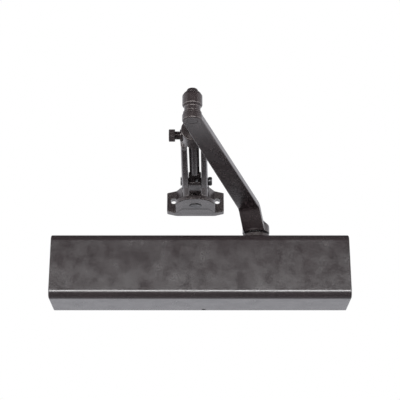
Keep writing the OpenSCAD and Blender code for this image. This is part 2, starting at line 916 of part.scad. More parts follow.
module swivel_washers() {
    color(brass)
    for (z = [shoe_z0 + plate_t, upper_z - swivel_washer_t])
        ring_z(z, z + swivel_washer_t, swivel_r + fit, 11, shoe_x, swivel_y);
}

cover();
cover_screws();
body_casting();
left_end_cap();
right_end_cap();
end_cap_seals();
power_adjuster();
spring_seat();
main_spring();
upper_bearing();
lower_bearing();
pinion_seal();
lower_pinion_cap();
sweep_valve();
latch_valve();
backcheck_valve();
piston();
piston_seals();
check_ball();
pinion_shaft();
dust_collar();
main_arm();
arm_washer();
arm_screw();
elbow_stud();
elbow_washer();
elbow_nut();
forearm_rod();
elbow_bush();
yoke();
clamp_nut();
clamp_screw();
knuckle();
pivot_pin();
pivot_ring();
pivot_set_screw();
shoe();
swivel_pin();
swivel_washers();
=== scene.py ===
import json
import math

import bpy
import bmesh
import numpy as np
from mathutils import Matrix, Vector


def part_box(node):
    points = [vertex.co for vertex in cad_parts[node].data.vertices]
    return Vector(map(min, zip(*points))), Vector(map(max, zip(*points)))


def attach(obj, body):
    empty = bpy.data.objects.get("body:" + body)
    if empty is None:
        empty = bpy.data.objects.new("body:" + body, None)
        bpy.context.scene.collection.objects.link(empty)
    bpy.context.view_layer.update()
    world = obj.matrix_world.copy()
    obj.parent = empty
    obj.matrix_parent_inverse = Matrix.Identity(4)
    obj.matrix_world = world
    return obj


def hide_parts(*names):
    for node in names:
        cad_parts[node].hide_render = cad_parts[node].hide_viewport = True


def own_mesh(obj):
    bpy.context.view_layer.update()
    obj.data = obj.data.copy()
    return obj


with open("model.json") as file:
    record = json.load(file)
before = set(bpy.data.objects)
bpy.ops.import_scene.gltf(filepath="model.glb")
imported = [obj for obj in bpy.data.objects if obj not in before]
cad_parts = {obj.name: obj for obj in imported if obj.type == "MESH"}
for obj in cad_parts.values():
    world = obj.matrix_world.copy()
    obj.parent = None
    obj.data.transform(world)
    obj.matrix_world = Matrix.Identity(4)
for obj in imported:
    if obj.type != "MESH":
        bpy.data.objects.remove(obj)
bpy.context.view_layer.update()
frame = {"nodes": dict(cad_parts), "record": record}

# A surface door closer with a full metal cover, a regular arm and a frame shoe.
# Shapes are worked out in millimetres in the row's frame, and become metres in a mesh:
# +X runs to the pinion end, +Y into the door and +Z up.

MM = 0.001
TAU = 2 * math.pi


def box_mm(node):
    """A CAD node's lowest and highest corners, in millimetres"""
    low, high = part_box(node)
    return np.array(low) / MM, np.array(high) / MM


def middle(node):
    """The middle of a CAD node's box, in millimetres"""
    low, high = box_mm(node)
    return (low + high) / 2


def heights(node):
    """The lowest and highest z of a CAD node, in millimetres"""
    low, high = box_mm(node)
    return low[2], high[2]


# ---------------- places

def axis_mm(joint):
    """Where a joint's axis is, in millimetres"""
    joints = frame["record"]["behaviour"]["joints"]
    place = [j["pos_m"] for j in joints if j["name"] == joint][0]
    return np.array(place) / MM


COVER_LOW, COVER_HIGH = box_mm("cover")
ARM_LOW, ARM_HIGH = box_mm("main_arm")
SHOE_LOW, SHOE_HIGH = box_mm("shoe")
SCREW_HIGH = box_mm("cover_screws")[1]
PINION = axis_mm("spindle_turn")
ELBOW = axis_mm("elbow_turn")
SWIVEL = axis_mm("shoe_swivel")
ROD_Z = ELBOW[2]

# The forearm has a frame of its own: u to its right, v along it from the elbow, and z
FOREARM = SWIVEL[:2] - ELBOW[:2]
SWIVEL_V = float(np.hypot(*FOREARM))
FOREARM_WAY = FOREARM / SWIVEL_V
PIVOT_V = float((axis_mm("shoe_tilt") - ELBOW)[:2] @ FOREARM_WAY)
CLAMP_V = float((axis_mm("clamp_screw_turn") - ELBOW)[:2] @ FOREARM_WAY)


def on_forearm(part):
    """Brings a shape from the forearm's frame into the row's frame"""
    return turned(part, FOREARM_WAY[::-1] * (1, -1), FOREARM_WAY, ELBOW)


def turned(part, u_way, v_way, origin):
    """Brings a shape made along u, v and z into the row's frame"""
    axes = np.array([(*u_way, 0), (*v_way, 0), (0, 0, 1)])
    moved = part[0] @ axes + (origin[0], origin[1], 0)
    return (moved, part[1], *[way @ axes for way in part[2:]])


# ---------------- distance fields
# Each function gives a distance in millimetres, negative inside the metal.

def meet(a, b, r):
    """What a and b share, with an outer edge of radius r"""
    u = np.maximum(a + r, 0)
    v = np.maximum(b + r, 0)
    return np.hypot(u, v) + np.minimum(np.maximum(a, b) + r, 0) - r


def join(a, b, r):
    """a and b together, with a fillet of radius r between them"""
    return -meet(-a, -b, r)


def cut(a, b, r):
    """a without b, with an edge of radius r"""
    return meet(a, -b, r)


def slab(x, low, high):
    """Between two planes"""
    return np.abs(x - (low + high) / 2) - (high - low) / 2


def rod(a, b, r):
    """A cylinder, from the two coordinates across it"""
    return np.hypot(a, b) - r


def hexagon(a, b, flats):
    """A hexagonal bar, from the two coordinates across it and its width across flats"""
    slanted = np.abs(a) * math.cos(math.pi / 6) + np.abs(b) * 0.5
    return np.maximum(slanted, np.abs(b)) - flats / 2


def skin(field, low, high, step):
    """A distance field's surface between two corners: points in mm, quads and the ways they face"""
    low = np.array(low, float) - 2 * step
    size = np.ceil((np.array(high, float) + 2 * step - low) / step).astype(int) + 1
    ax, ay, az = (low[i] + step * np.arange(size[i]) for i in range(3))
    values = field(ax[:, None, None], ay[None, :, None], az[None, None, :])
    values = np.broadcast_to(values, tuple(size))
    inside = values < 0
    corners = [(i, j, k) for i in (0, 1) for j in (0, 1) for k in (0, 1)]
    cell = size - 1
    filled = sum(inside[i:i + cell[0], j:j + cell[1], k:k + cell[2]].astype(np.int8)
                 for i, j, k in corners)
    mixed = (filled > 0) & (filled < len(corners))
    cells = np.argwhere(mixed)
    number = np.full(tuple(cell), -1)
    number[mixed] = np.arange(len(cells))

    at = {c: values[cells[:, 0] + c[0], cells[:, 1] + c[1], cells[:, 2] + c[2]] for c in corners}
    points = low + step * (cells + crossing_middles(at, len(cells)))
    points, facing = settle(field, points, step)
    return points, surface_quads(inside, number), facing


def crossing_middles(at, n):
    """Where the surface passes each of n cells, from the field at the cells' corners"""
    total = np.zeros((n, 3))
    count = np.zeros(n)
    for a in at:
        for axis in range(3):
            if a[axis]:
                continue
            b = tuple(v + (i == axis) for i, v in enumerate(a))
            crossed = (at[a] < 0) != (at[b] < 0)
            span = np.where(crossed, at[a] - at[b], 1)
            place = np.tile(np.array(a, float), (n, 1))
            place[:, axis] = at[a] / span
            total += place * crossed[:, None]
            count += crossed
    return total / count[:, None]


SETTLE_ROUNDS = 5
SETTLE_PARTS = 8  # slopes are measured over this part of a step while points settle
FACING_PARTS = 3  # and over this part for the way that the surface faces
LEAST_STEEPNESS = 0.3
TINY = 1e-6


def slope_at(field, points, h):
    """A field's slope at each point"""
    x, y, z = points.T
    return np.stack([field(x + h, y, z) - field(x - h, y, z),
                     field(x, y + h, z) - field(x, y - h, z),
                     field(x, y, z + h) - field(x, y, z - h)], axis=1) / (2 * h)


def settle(field, points, step):
    """Moves points onto a field's surface, by no more than a step; also gives the way it faces"""
    start = points.copy()
    h = step / SETTLE_PARTS
    for _ in range(SETTLE_ROUNDS):
        value = field(*points.T)
        slope = slope_at(field, points, h)
        steep = np.maximum((slope ** 2).sum(axis=1), LEAST_STEEPNESS)
        points = points - slope * (value / steep)[:, None]
        points = start + np.clip(points - start, -step, step)
    facing = slope_at(field, points, step / FACING_PARTS)
    return points, facing / np.maximum(np.linalg.norm(facing, axis=1), TINY)[:, None]


def surface_quads(inside, number):
    """A quad round each grid edge that crosses the surface, facing outwards"""
    quads = []
    for axis in range(3):
        one, two = (axis + 1) % 3, (axis + 2) % 3
        first = inside.take(range(inside.shape[axis] - 1), axis)
        second = inside.take(range(1, inside.shape[axis]), axis)
        edges = np.argwhere(first != second)
        keep = (edges[:, one] > 0) & (edges[:, two] > 0)
        edges = edges[keep]
        outward = first[tuple(edges.T)]
        ring = []
        for d1, d2 in ((1, 1), (0, 1), (0, 0), (1, 0)):
            spot = edges.copy()
            spot[:, one] -= d1
            spot[:, two] -= d2
            ring.append(number[tuple(spot.T)])
        ring = np.stack(ring, axis=1)
        ring[outward] = ring[outward][:, ::-1]
        quads.append(ring)
    return np.concatenate(quads)[:, ::-1]


# ---------------- turned shapes

NEARLY_STRAIGHT = math.radians(86)
CORNER_SHARE = 0.45  # the most of a side that one rounded corner takes
FLAT_SHARE = 0.48  # no point is added beside a corner past this part of its side


def soften(points, radius, closed=False, steps=4, margin=0.15):
    """A polyline with its corners rounded, and a point on each flat beside each corner"""
    points = [np.array(p, float) for p in points]
    last = len(points) - 1
    result = []
    for i, p in enumerate(points):
        if not closed and i in (0, last):
            result.append(p)
            continue
        before = points[i - 1] - p
        after = points[(i + 1) % len(points)] - p
        a, b = np.linalg.norm(before), np.linalg.norm(after)
        before, after = before / a, after / b
        half = math.acos(max(-1, min(1, float(before @ after)))) / 2
        if half > NEARLY_STRAIGHT:
            result.append(p)
            continue
        reach = min(radius / math.tan(half), CORNER_SHARE * a, CORNER_SHARE * b)
        bow = (before + after) / np.linalg.norm(before + after)
        centre = p + bow * reach / math.cos(half)
        start, end = p + before * reach, p + after * reach
        turn = math.pi - 2 * half
        if reach + margin < FLAT_SHARE * a:
            result.append(start + before * margin)
        for k in range(steps + 1):
            s, e = math.sin(turn * (1 - k / steps)), math.sin(turn * k / steps)
            result.append(centre + ((start - centre) * s + (end - centre) * e) / math.sin(turn))
        if reach + margin < FLAT_SHARE * b:
            result.append(end + after * margin)
    return result


def lathe(profile, closed=False, sides=96):
    """A profile of (radius, height) points turned about the Z axis"""
    points, rings = [], []
    for r, h in profile:
        if r < TINY:
            rings.append([len(points)] * sides)
            points.append((0, 0, h))
            continue
        rings.append(list(range(len(points), len(points) + sides)))
        for k in range(sides):
            points.append((r * math.cos(TAU * k / sides), r * math.sin(TAU * k / sides), h))
    faces = []
    pairs = list(zip(rings, rings[1:]))
    if closed:
        pairs.append((rings[-1], rings[0]))
    for lower, upper in pairs:
        for k in range(sides):
            n = (k + 1) % sides
            face = [lower[k], lower[n], upper[n], upper[k]]
            face = [v for i, v in enumerate(face) if v != face[i - 1]]
            if len(face) > 2:
                faces.append(face)
    return np.array(points), faces


def upright(part, axis):
    """Puts a turned shape on the vertical axis through a point"""
    points, faces = part
    return points + np.array([axis[0], axis[1], 0]), faces


def sideways(part, y, z):
    """Lays a turned shape along X, at y, z"""
    points, faces = part
    return np.stack([points[:, 2], points[:, 0] + y, points[:, 1] + z], axis=1), faces


def bar_profile(r, low, high):
    """A plain round bar's section"""
    return [(0, low), (r, low), (r, high), (0, high)]


def washer(r_in, r_out, low, high, radius):
    """A washer or ring, with rounded corners"""
    section = [(r_in, low), (r_out, low), (r_out, high), (r_in, high)]
    return lathe(soften(section, radius, closed=True), closed=True)


# ---------------- pieces

def face_outwards(mesh):
    """Turns a closed mesh's faces outwards"""
    bm = bmesh.new()
    bm.from_mesh(mesh)
    bmesh.ops.recalc_face_normals(bm, faces=bm.faces)
    bm.to_mesh(mesh)
    bm.free()


def put_in_scene(name, data):
    """A new object in the scene, holding a mesh, a light or a camera"""
    thing = bpy.data.objects.new(name, data)
    bpy.context.scene.collection.objects.link(thing)
    return thing


def build(name, parts, body, node, material):
    """One piece from its parts: points in mm, faces and, from skin(), the ways the points face"""
    points, faces, facing, base = [], [], [], 0
    for part in parts:
        points.append(np.asarray(part[0], float))
        faces.extend([[int(v) + base for v in face] for face in part[1]])
        facing.extend(part[2:])
        base += len(part[0])
    mesh = bpy.data.meshes.new(name)
    mesh.from_pydata((np.concatenate(points) * MM).tolist(), [], faces)
    face_outwards(mesh)
    mesh.polygons.foreach_set("use_smooth", [True] * len(mesh.polygons))
    mesh.update()
    if facing:
        mesh.normals_split_custom_set_from_vertices(np.concatenate(facing).tolist())
    piece = put_in_scene(name, mesh)
    piece.data.materials.append(material)
    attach(piece, body)
    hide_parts(node)
    return piece


def bake_modifiers(piece):
    """Replaces a piece's mesh by the one that its modifiers give"""
    graph = bpy.context.evaluated_depsgraph_get()
    mesh = bpy.data.meshes.new_from_object(piece.evaluated_get(graph))
    piece.modifiers.clear()
    piece.data = mesh


# ---------------- materials

class Graph:
    """A node tree being put together"""

    def __init__(self, tree):
        self.nodes, self.links = tree.nodes, tree.links

    def add(self, kind, **values):
        """A new node, with values for its inputs; an underscore stands for a space"""
        node = self.nodes.new("ShaderNode" + kind)
        for key, value in values.items():
            node.inputs[key.replace("_", " ")].default_value = value
        return node

    def between(self, value, low, high, to_low=0.0, to_high=1.0, kind="LINEAR"):
        """A value mapped from one range to another, and held inside it"""
        node = self.add("MapRange", From_Min=low, From_Max=high, To_Min=to_low, To_Max=to_high)
        node.interpolation_type = kind
        self.links.new(value, node.inputs["Value"])
        return node.outputs["Result"]

    def maths(self, operation, a, b):
        """Two values combined; either may be a number"""
        node = self.add("Math")
        node.operation = operation
        for socket, value in zip(node.inputs, (a, b)):
            if isinstance(value, (int, float)):
                socket.default_value = value
            else:
                self.links.new(value, socket)
        return node.outputs["Value"]


class Paint(Graph):
    """A node material being put together round one Principled shader"""

    def __init__(self, name, colour, metallic, rough, ior=1.5):
        self.material = bpy.data.materials.new(name)
        self.material.use_nodes = True
        self.material.diffuse_color = (*colour, 1)
        super().__init__(self.material.node_tree)
        self.shader = self.nodes["Principled BSDF"]
        self.shader.inputs["Base Color"].default_value = (*colour, 1)
        self.shader.inputs["Metallic"].default_value = metallic
        self.shader.inputs["Roughness"].default_value = rough
        self.shader.inputs["IOR"].default_value = ior
        self.place = self.add("TexCoord").outputs["Object"]

    def stretched(self, scale):
        """The place on the object, stretched along its axes"""
        node = self.add("Mapping", Scale=scale)
        self.links.new(self.place, node.inputs["Vector"])
        return node.outputs["Vector"]

    def noise(self, scale, detail=3, place=None, rough=0.5):
        """Smooth noise from 0 to 1, with scale counted per metre"""
        node = self.add("TexNoise", Scale=scale, Detail=detail, Roughness=rough)
        self.links.new(place or self.place, node.inputs["Vector"])
        return node.outputs["Fac"]

    def mixed(self, amount, a, b):
        """Colour a turning into b; each is a colour or a socket"""
        node = self.add("Mix")
        node.data_type = "RGBA"
        self.links.new(amount, node.inputs["Factor"])
        for key, value in (("A", a), ("B", b)):
            socket = [s for s in node.inputs if s.name == key and s.type == "RGBA"][0]
            if isinstance(value, tuple):
                socket.default_value = (*value, 1)
            else:
                self.links.new(value, socket)
        return [s for s in node.outputs if s.type == "RGBA"][0]

    def edges(self, low, high):
        """How much a place is an outer edge, from 0 to 1"""
        point = self.add("NewGeometry").outputs["Pointiness"]
        return self.between(point, low, high)

    def bump(self, height, distance, strength=1.0, under=None):
        """Bumps whose full height is distance, in metres"""
        node = self.add("Bump", Strength=strength, Distance=distance)
        self.links.new(height, node.inputs["Height"])
        if under:
            self.links.new(under, node.inputs["Normal"])
        return node.outputs["Normal"]

    def put(self, name, value):
        """Links a socket to one of the shader's inputs"""
        self.links.new(value, self.shader.inputs[name])

    def roughen(self, noise, low, high):
        """Lets the roughness vary with a noise"""
        self.put("Roughness", self.between(noise, *MOST, low, high))


MOST = (0.3, 0.7)  # the range that most of a noise lies in
WORN_PAINT = (0.16, 0.145, 0.135)
WORN_STEEL = (0.34, 0.33, 0.32)
# The full heights of bumps, in metres
TOOL_MARK = 0.00001
FINE_GRAIN = 0.00002
CAST_GRAIN = 0.00005
ORANGE_PEEL = 0.00006
CAST_LUMP = 0.0001
FORGED_LUMP = 0.00025


def shade(colour, factor):
    """A colour made darker or lighter"""
    return tuple(min(1.0, c * factor) for c in colour)


def painted_metal(name, colour, rough, peel, cast=0.0, wear=0.2, tint=(1, 1, 1)):
    """Bronze paint with fine metal flake over sheet or cast metal"""
    paint = Paint(name, colour, 0.0, rough)
    broad = paint.noise(22, 3)
    body = paint.mixed(paint.between(broad, *MOST), shade(colour, 0.92), shade(colour, 1.08))
    flake = paint.noise(850, 2)
    body = paint.mixed(paint.between(flake, 0.5, 0.75, 0.0, 0.7), body, shade(colour, 1.9))
    paint.put("Specular IOR Level", paint.between(flake, *MOST, 0.44, 0.58))
    paint.shader.inputs["Specular Tint"].default_value = (*tint, 1)
    scuffs = paint.between(paint.noise(260, 4), 0.45, 0.62)
    rubbed = paint.maths("MULTIPLY", paint.edges(0.53, 0.6), scuffs)
    rubbed = paint.maths("MULTIPLY", rubbed, wear)
    paint.put("Base Color", paint.mixed(rubbed, body, WORN_PAINT))
    paint.roughen(paint.noise(60, 5, rough=0.6), rough - 0.05, rough + 0.06)
    fine = paint.bump(paint.noise(1500, 2), FINE_GRAIN * peel, 0.5)
    surface = paint.bump(paint.noise(420, 2), ORANGE_PEEL * peel, 0.6, fine)
    if cast:
        surface = paint.bump(paint.noise(110, 3), FORGED_LUMP * cast, 0.5, surface)
    paint.put("Normal", surface)
    return paint.material


def turned_steel(name, colour, rough, axis):
    """Machined steel, with fine tool marks round an axis given as X, Y or Z"""
    paint = Paint(name, colour, 1.0, rough)
    waves = [60, 60, 60]
    waves["XYZ".index(axis)] = 5200
    marks = paint.noise(1, 3, paint.stretched(tuple(waves)))
    broad = paint.between(paint.noise(90, 4), *MOST)
    paint.put("Base Color", paint.mixed(broad, shade(colour, 0.82), shade(colour, 1.08)))
    paint.put("Roughness", paint.between(marks, 0.2, 0.8, rough - 0.06, rough + 0.12))
    paint.put("Normal", paint.bump(marks, TOOL_MARK, 0.5))
    return paint.material


def black_oxide(name, colour, rough):
    """Blackened steel with a faint oily unevenness and rubbed edges"""
    paint = Paint(name, colour, 0.85, rough)
    tone = paint.noise(140, 4)
    body = paint.mixed(paint.between(tone, *MOST), shade(colour, 0.75), shade(colour, 1.3))
    scuffs = paint.between(paint.noise(600, 3), 0.4, 0.65)
    rubbed = paint.maths("MULTIPLY", paint.edges(0.52, 0.6), scuffs)
    paint.put("Base Color", paint.mixed(rubbed, body, WORN_STEEL))
    paint.roughen(paint.noise(320, 4), rough - 0.07, rough + 0.1)
    paint.put("Normal", paint.bump(paint.noise(1700, 2), FINE_GRAIN, 0.5))
    return paint.material


def cast_alloy(name, colour, rough):
    """Die-cast aluminium alloy: matt, slightly mottled skin"""
    paint = Paint(name, colour, 1.0, rough)
    stain = paint.noise(35, 5, rough=0.6)
    skin_tone = paint.mixed(paint.between(stain, 0.3, 0.72), shade(colour, 0.72), shade(colour, 1.1))
    speck = paint.between(paint.noise(900, 2), 0.62, 0.72)
    paint.put("Base Color", paint.mixed(speck, skin_tone, shade(colour, 0.5)))
    paint.roughen(paint.noise(200, 4), rough - 0.08, rough + 0.14)
    grain = paint.bump(paint.noise(1100, 3), CAST_GRAIN, 0.7)
    paint.put("Normal", paint.bump(paint.noise(120, 2), CAST_LUMP, 0.5, grain))
    return paint.material


def brass(name, colour, rough):
    """Turned brass, slightly tarnished"""
    paint = Paint(name, colour, 1.0, rough)
    tarnish = paint.noise(180, 4)
    paint.put("Base Color", paint.mixed(paint.between(tarnish, 0.35, 0.7), colour, shade(colour, 0.5)))
    paint.roughen(paint.noise(500, 3), rough - 0.06, rough + 0.15)
    paint.put("Normal", paint.bump(paint.noise(1400, 2), TOOL_MARK, 0.5))
    return paint.material


def rubber(name, colour, rough):
    """Nitrile rubber with a fine matt skin"""
    paint = Paint(name, colour, 0.0, rough, 1.45)
    bloom = paint.noise(160, 4)
    paint.put("Base Color", paint.mixed(paint.between(bloom, 0.3, 0.75), colour, shade(colour, 1.9)))
    paint.roughen(paint.noise(700, 3), rough - 0.1, rough + 0.1)
    paint.put("Normal", paint.bump(paint.noise(1800, 3), FINE_GRAIN, 0.6))
    return paint.material


BRONZE = (0.0105, 0.0078, 0.0083)
WARM = (1.0, 0.93, 0.90)
COVER_PAINT = painted_metal("cover_paint_finish", BRONZE, 0.225, 1.0)
ARM_PAINT = painted_metal("arm_paint_finish", BRONZE, 0.25, 0.2, cast=0.05, wear=0.05, tint=WARM)
# Painted shade: the shoe's paint is the cover's bronze made darker, so the shoe looks more shaded than
# the lamps alone make it
SHADED_SHOE_BRONZE = (0.0090, 0.0067, 0.0072)
SHOE_PAINT = painted_metal("shoe_paint_finish", SHADED_SHOE_BRONZE, 0.26, 0.25, cast=0.12, wear=0.1, tint=WARM)
ALLOY = cast_alloy("casting_alloy_finish", (0.56, 0.56, 0.58), 0.42)
STEEL = (0.56, 0.56, 0.57)
STEEL_Z = turned_steel("machined_steel_z_finish", STEEL, 0.24, "Z")
STEEL_X = turned_steel("machined_steel_x_finish", STEEL, 0.24, "X")
BLACK = black_oxide("black_steel_finish", (0.05, 0.05, 0.052), 0.34)
SPRING = black_oxide("spring_steel_finish", (0.09, 0.095, 0.11), 0.3)
BRASS = brass("brass_finish", (0.66, 0.47, 0.2), 0.28)
RUBBER = rubber("seal_rubber_finish", (0.012, 0.012, 0.013), 0.6)


# ---------------- cover

COVER_T = 1.5
COVER_BEND = 7.5
END_BEND = 1.2
INNER_END_BEND = 0.3
BESIDE_BEND = 0.3  # a section this far from each end's bend keeps the faces flat
BEND_STEPS = 14
END_STEPS = 5
FLAT_SHARES = (0.02, 0.3, 0.65, 0.98)  # where points lie across the upper and lower faces
FRONT_SHARES = (0.985, 0.5, 0.0)  # and down the upper half of the front
MIDDLE_X = (-60, 0)  # the plain sections between the ends
SPINDLE_HOLE_R = 14.6
UNDER_HOLE_R, UNDER_HOLE = 1.9, (4, -4.5)
END_HOLE_R = 2.2
DRILL_ACROSS, DRILL_ALONG = 60, 200  # long enough to pass through the sheet
SOFT_EDGE = 0.25
SOFT_EDGE_ANGLE = math.radians(50)


def cover_section(inset):
    """The cover's section in y and z, from its upper to its lower back edge, set in by inset"""
    top = COVER_HIGH[2] - inset
    front = COVER_LOW[1] + inset
    back = COVER_HIGH[1]
    r = COVER_BEND - inset
    points = [(back, top)]
    flat = front + r
    points += [(back + (flat - back) * t, top) for t in FLAT_SHARES]
    for i in range(BEND_STEPS + 1):
        a = math.pi / 2 * i / BEND_STEPS
        points.append((flat - r * math.sin(a), top - r + r * math.cos(a)))
    straight = top - r
    points += [(front, straight * t) for t in FRONT_SHARES]
    return points + [(y, -z) for y, z in points[-2::-1]]


def cover_shell(half_length, inset, bend):
    """One face of the folded sheet: sections from end to end, each with its x"""
    sections = []
    for i in range(END_STEPS + 1):
        a = math.pi / 2 * (1 - i / END_STEPS)
        x = half_length - bend + bend * math.sin(a)
        sections.append((-x, inset + bend * (1 - math.cos(a))))
    sections.append((-(half_length - bend - BESIDE_BEND), inset))
    sections += [(x, inset) for x in MIDDLE_X]
    sections += [(-x, d) for x, d in sections[-2::-1]]
    return [[(x, y, z) for y, z in cover_section(d)] for x, d in sections]


def make_cover():
    """The folded cover: outer and inner faces, end walls and the rim round its open back"""
    half_length = COVER_HIGH[0]
    outer = cover_shell(half_length, 0, END_BEND)
    inner = cover_shell(half_length - COVER_T, COVER_T, INNER_END_BEND)
    points = [p for shell in (outer, inner) for row in shell for p in row]
    faces = cover_faces(len(outer), len(outer[0]))
    cover = build("cover_shell", [(points, faces)], "body", "cover", COVER_PAINT)
    drill_cover(cover)
    soft = cover.modifiers.new("soft_edges", "BEVEL")
    soft.width = SOFT_EDGE * MM
    soft.segments = 2
    soft.limit_method = "ANGLE"
    soft.angle_limit = SOFT_EDGE_ANGLE
    even = cover.modifiers.new("even_normals", "WEIGHTED_NORMAL")
    even.keep_sharp = True
    bake_modifiers(cover)


def cover_faces(rows, width):
    """The faces of the two shells, of their end walls and of the rim between them"""
    def at(shell, row, column):
        return (shell * rows + row) * width + column

    faces = []
    for shell in (0, 1):
        for i in range(rows - 1):
            for j in range(width - 1):
                faces.append([at(shell, i, j), at(shell, i + 1, j),
                              at(shell, i + 1, j + 1), at(shell, i, j + 1)])
        faces.append([at(shell, 0, j) for j in range(width)])
        faces.append([at(shell, rows - 1, j) for j in range(width)])
    for i in range(rows - 1):
        for j in (0, width - 1):
            faces.append([at(0, i, j), at(0, i + 1, j), at(1, i + 1, j), at(1, i, j)])
    for i in (0, rows - 1):
        faces.append([at(0, i, 0), at(0, i, width - 1), at(1, i, width - 1), at(1, i, 0)])
    return faces


def drill_cover(cover):
    """The spindle's hole, a small hole underneath and a screw hole at each end"""
    spindle = lathe(bar_profile(SPINDLE_HOLE_R, 0, DRILL_ACROSS))
    under = lathe(bar_profile(UNDER_HOLE_R, -DRILL_ACROSS, 0), sides=48)
    ends = lathe(bar_profile(END_HOLE_R, -DRILL_ALONG, DRILL_ALONG), sides=48)
    screws = middle("cover_screws")
    drill(cover, *upright(spindle, PINION))
    drill(cover, *upright(under, UNDER_HOLE))
    drill(cover, *sideways(ends, screws[1], screws[2]))


def drill(piece, points, faces):
    """Cuts a closed shape, in mm, out of a piece"""
    mesh = bpy.data.meshes.new("drill")
    mesh.from_pydata((np.asarray(points) * MM).tolist(), [], faces)
    face_outwards(mesh)
    tool = put_in_scene("drill", mesh)
    hole = piece.modifiers.new("hole", "BOOLEAN")
    hole.operation = "DIFFERENCE"
    hole.solver = "EXACT"
    hole.object = tool
    bake_modifiers(piece)
    bpy.data.objects.remove(tool)
    bpy.data.meshes.remove(mesh)


BUTTON_R = 3.8
BUTTON_DOME_R = 4.6
BUTTON_SHANK_R, BUTTON_SHANK = 1.75, 8
BUTTON_SOCKET = 2.5
BUTTON_FLOOR = 0.7  # the socket's floor, out from the cover's end


def make_cover_screws():
    """Two button heads with a hexagonal socket, one at each end"""
    at = middle("cover_screws")
    face, tip = COVER_HIGH[0], SCREW_HIGH[0]
    root = face - BUTTON_SHANK
    parts = []
    for side in (-1, 1):
        def field(x, y, z):
            h = x * side
            r = np.hypot(y - at[1], z - at[2])
            dome = np.hypot(h - (tip - BUTTON_DOME_R), r) - BUTTON_DOME_R
            head = meet(meet(r - BUTTON_R, slab(h, face, tip), 0.4), dome, 0.3)
            shank = meet(r - BUTTON_SHANK_R, slab(h, root, face + 1), 0.3)
            six = hexagon(y - at[1], z - at[2], BUTTON_SOCKET)
            socket = np.maximum(six, slab(h, face + BUTTON_FLOOR, tip + 5))
            return cut(join(head, shank, 0.1), socket, 0.12)

        ends = sorted([root * side, tip * side])
        parts.append(skin(field, (ends[0], at[1] - BUTTON_R, at[2] - BUTTON_R),
                          (ends[1], at[1] + BUTTON_R, at[2] + BUTTON_R), 0.25))
    build("cover_end_screws", parts, "body", "cover_screws", BLACK)


# ---------------- spindle, collar and main arm

COLLAR_HOLE_R = 7.35
COLLAR_R = 14.4
COLLAR_SKIRT_R = 15.3
COLLAR_RIM = 0.6


def make_collar():
    """The ring that keeps dust out of the pinion's hole in the cover"""
    low, high = heights("dust_collar")
    section = [(COLLAR_HOLE_R, low), (COLLAR_SKIRT_R, low), (COLLAR_SKIRT_R, low + 0.5),
               (COLLAR_R, low + 1.8), (COLLAR_R, high - COLLAR_RIM), (COLLAR_R - COLLAR_RIM, high),
               (COLLAR_HOLE_R, high)]
    profile = soften(section, 0.35, closed=True)
    ring = upright(lathe(profile, closed=True), PINION)
    build("collar_ring", [ring], "spindle_and_arm", "dust_collar", ARM_PAINT)


ARM_T = 6.5
HUB_R = 14.4
HUB_H = 12
HUB_SLOPE = 3.5
SQUARE_HALF = 6.05
STUD_HOLE_R = 4.52
STUD_HOLE_DEEP = 2  # how far the stud's hole reaches below the bar's upper level
FAR = 99  # a distance past any that matters
ARM_Z = ARM_LOW[2]
ARM_RISE = ARM_HIGH[2] - ARM_T - ARM_Z
RAMP = math.radians(39.5)
RAMP_START = 12.5
RAMP_END = RAMP_START + ARM_RISE / math.tan(RAMP)
LOW_BEND, HIGH_BEND = 12, 11
ARM_END_R = 8.9
ARM_ROOT_HALF = 11.6
TO_ELBOW = ELBOW[:2] - PINION[:2]
ARM_REACH = float(np.hypot(*TO_ELBOW))
ARM_WAY = TO_ELBOW / ARM_REACH


def arm_bar(u, z):
    """The bar's side view: distance from its bent middle line, less half its thickness"""
    low_c = (RAMP_START - LOW_BEND * math.tan(RAMP / 2), ARM_Z + LOW_BEND)
    high_c = (RAMP_END + HIGH_BEND * math.tan(RAMP / 2), ARM_Z + ARM_RISE - HIGH_BEND)
    low_r, high_r = LOW_BEND - ARM_T / 2, HIGH_BEND + ARM_T / 2
    level_0, level_1 = ARM_Z + ARM_T / 2, ARM_Z + ARM_RISE + ARM_T / 2
    first = np.hypot(np.maximum(u - low_c[0], 0), z - level_0)
    last = np.hypot(np.minimum(u - high_c[0], 0), z - level_1)
    lean = np.arctan2(u - low_c[0], low_c[1] - z)
    bend_0 = np.where((lean >= 0) & (lean <= RAMP),
                      np.abs(np.hypot(u - low_c[0], z - low_c[1]) - low_r), FAR)
    lean = np.arctan2(high_c[0] - u, z - high_c[1])
    bend_1 = np.where((lean >= 0) & (lean <= RAMP),
                      np.abs(np.hypot(u - high_c[0], z - high_c[1]) - high_r), FAR)
    start = (low_c[0] + low_r * math.sin(RAMP), low_c[1] - low_r * math.cos(RAMP))
    end = (high_c[0] - high_r * math.sin(RAMP), high_c[1] + high_r * math.cos(RAMP))
    length = math.dist(start, end)
    along = (u - start[0]) * math.cos(RAMP) + (z - start[1]) * math.sin(RAMP)
    across = (z - start[1]) * math.cos(RAMP) - (u - start[0]) * math.sin(RAMP)
    slope = np.hypot(across, np.maximum(np.maximum(-along, along - length), 0))
    line = np.minimum(np.minimum(first, last), np.minimum(slope, np.minimum(bend_0, bend_1)))
    return line - ARM_T / 2


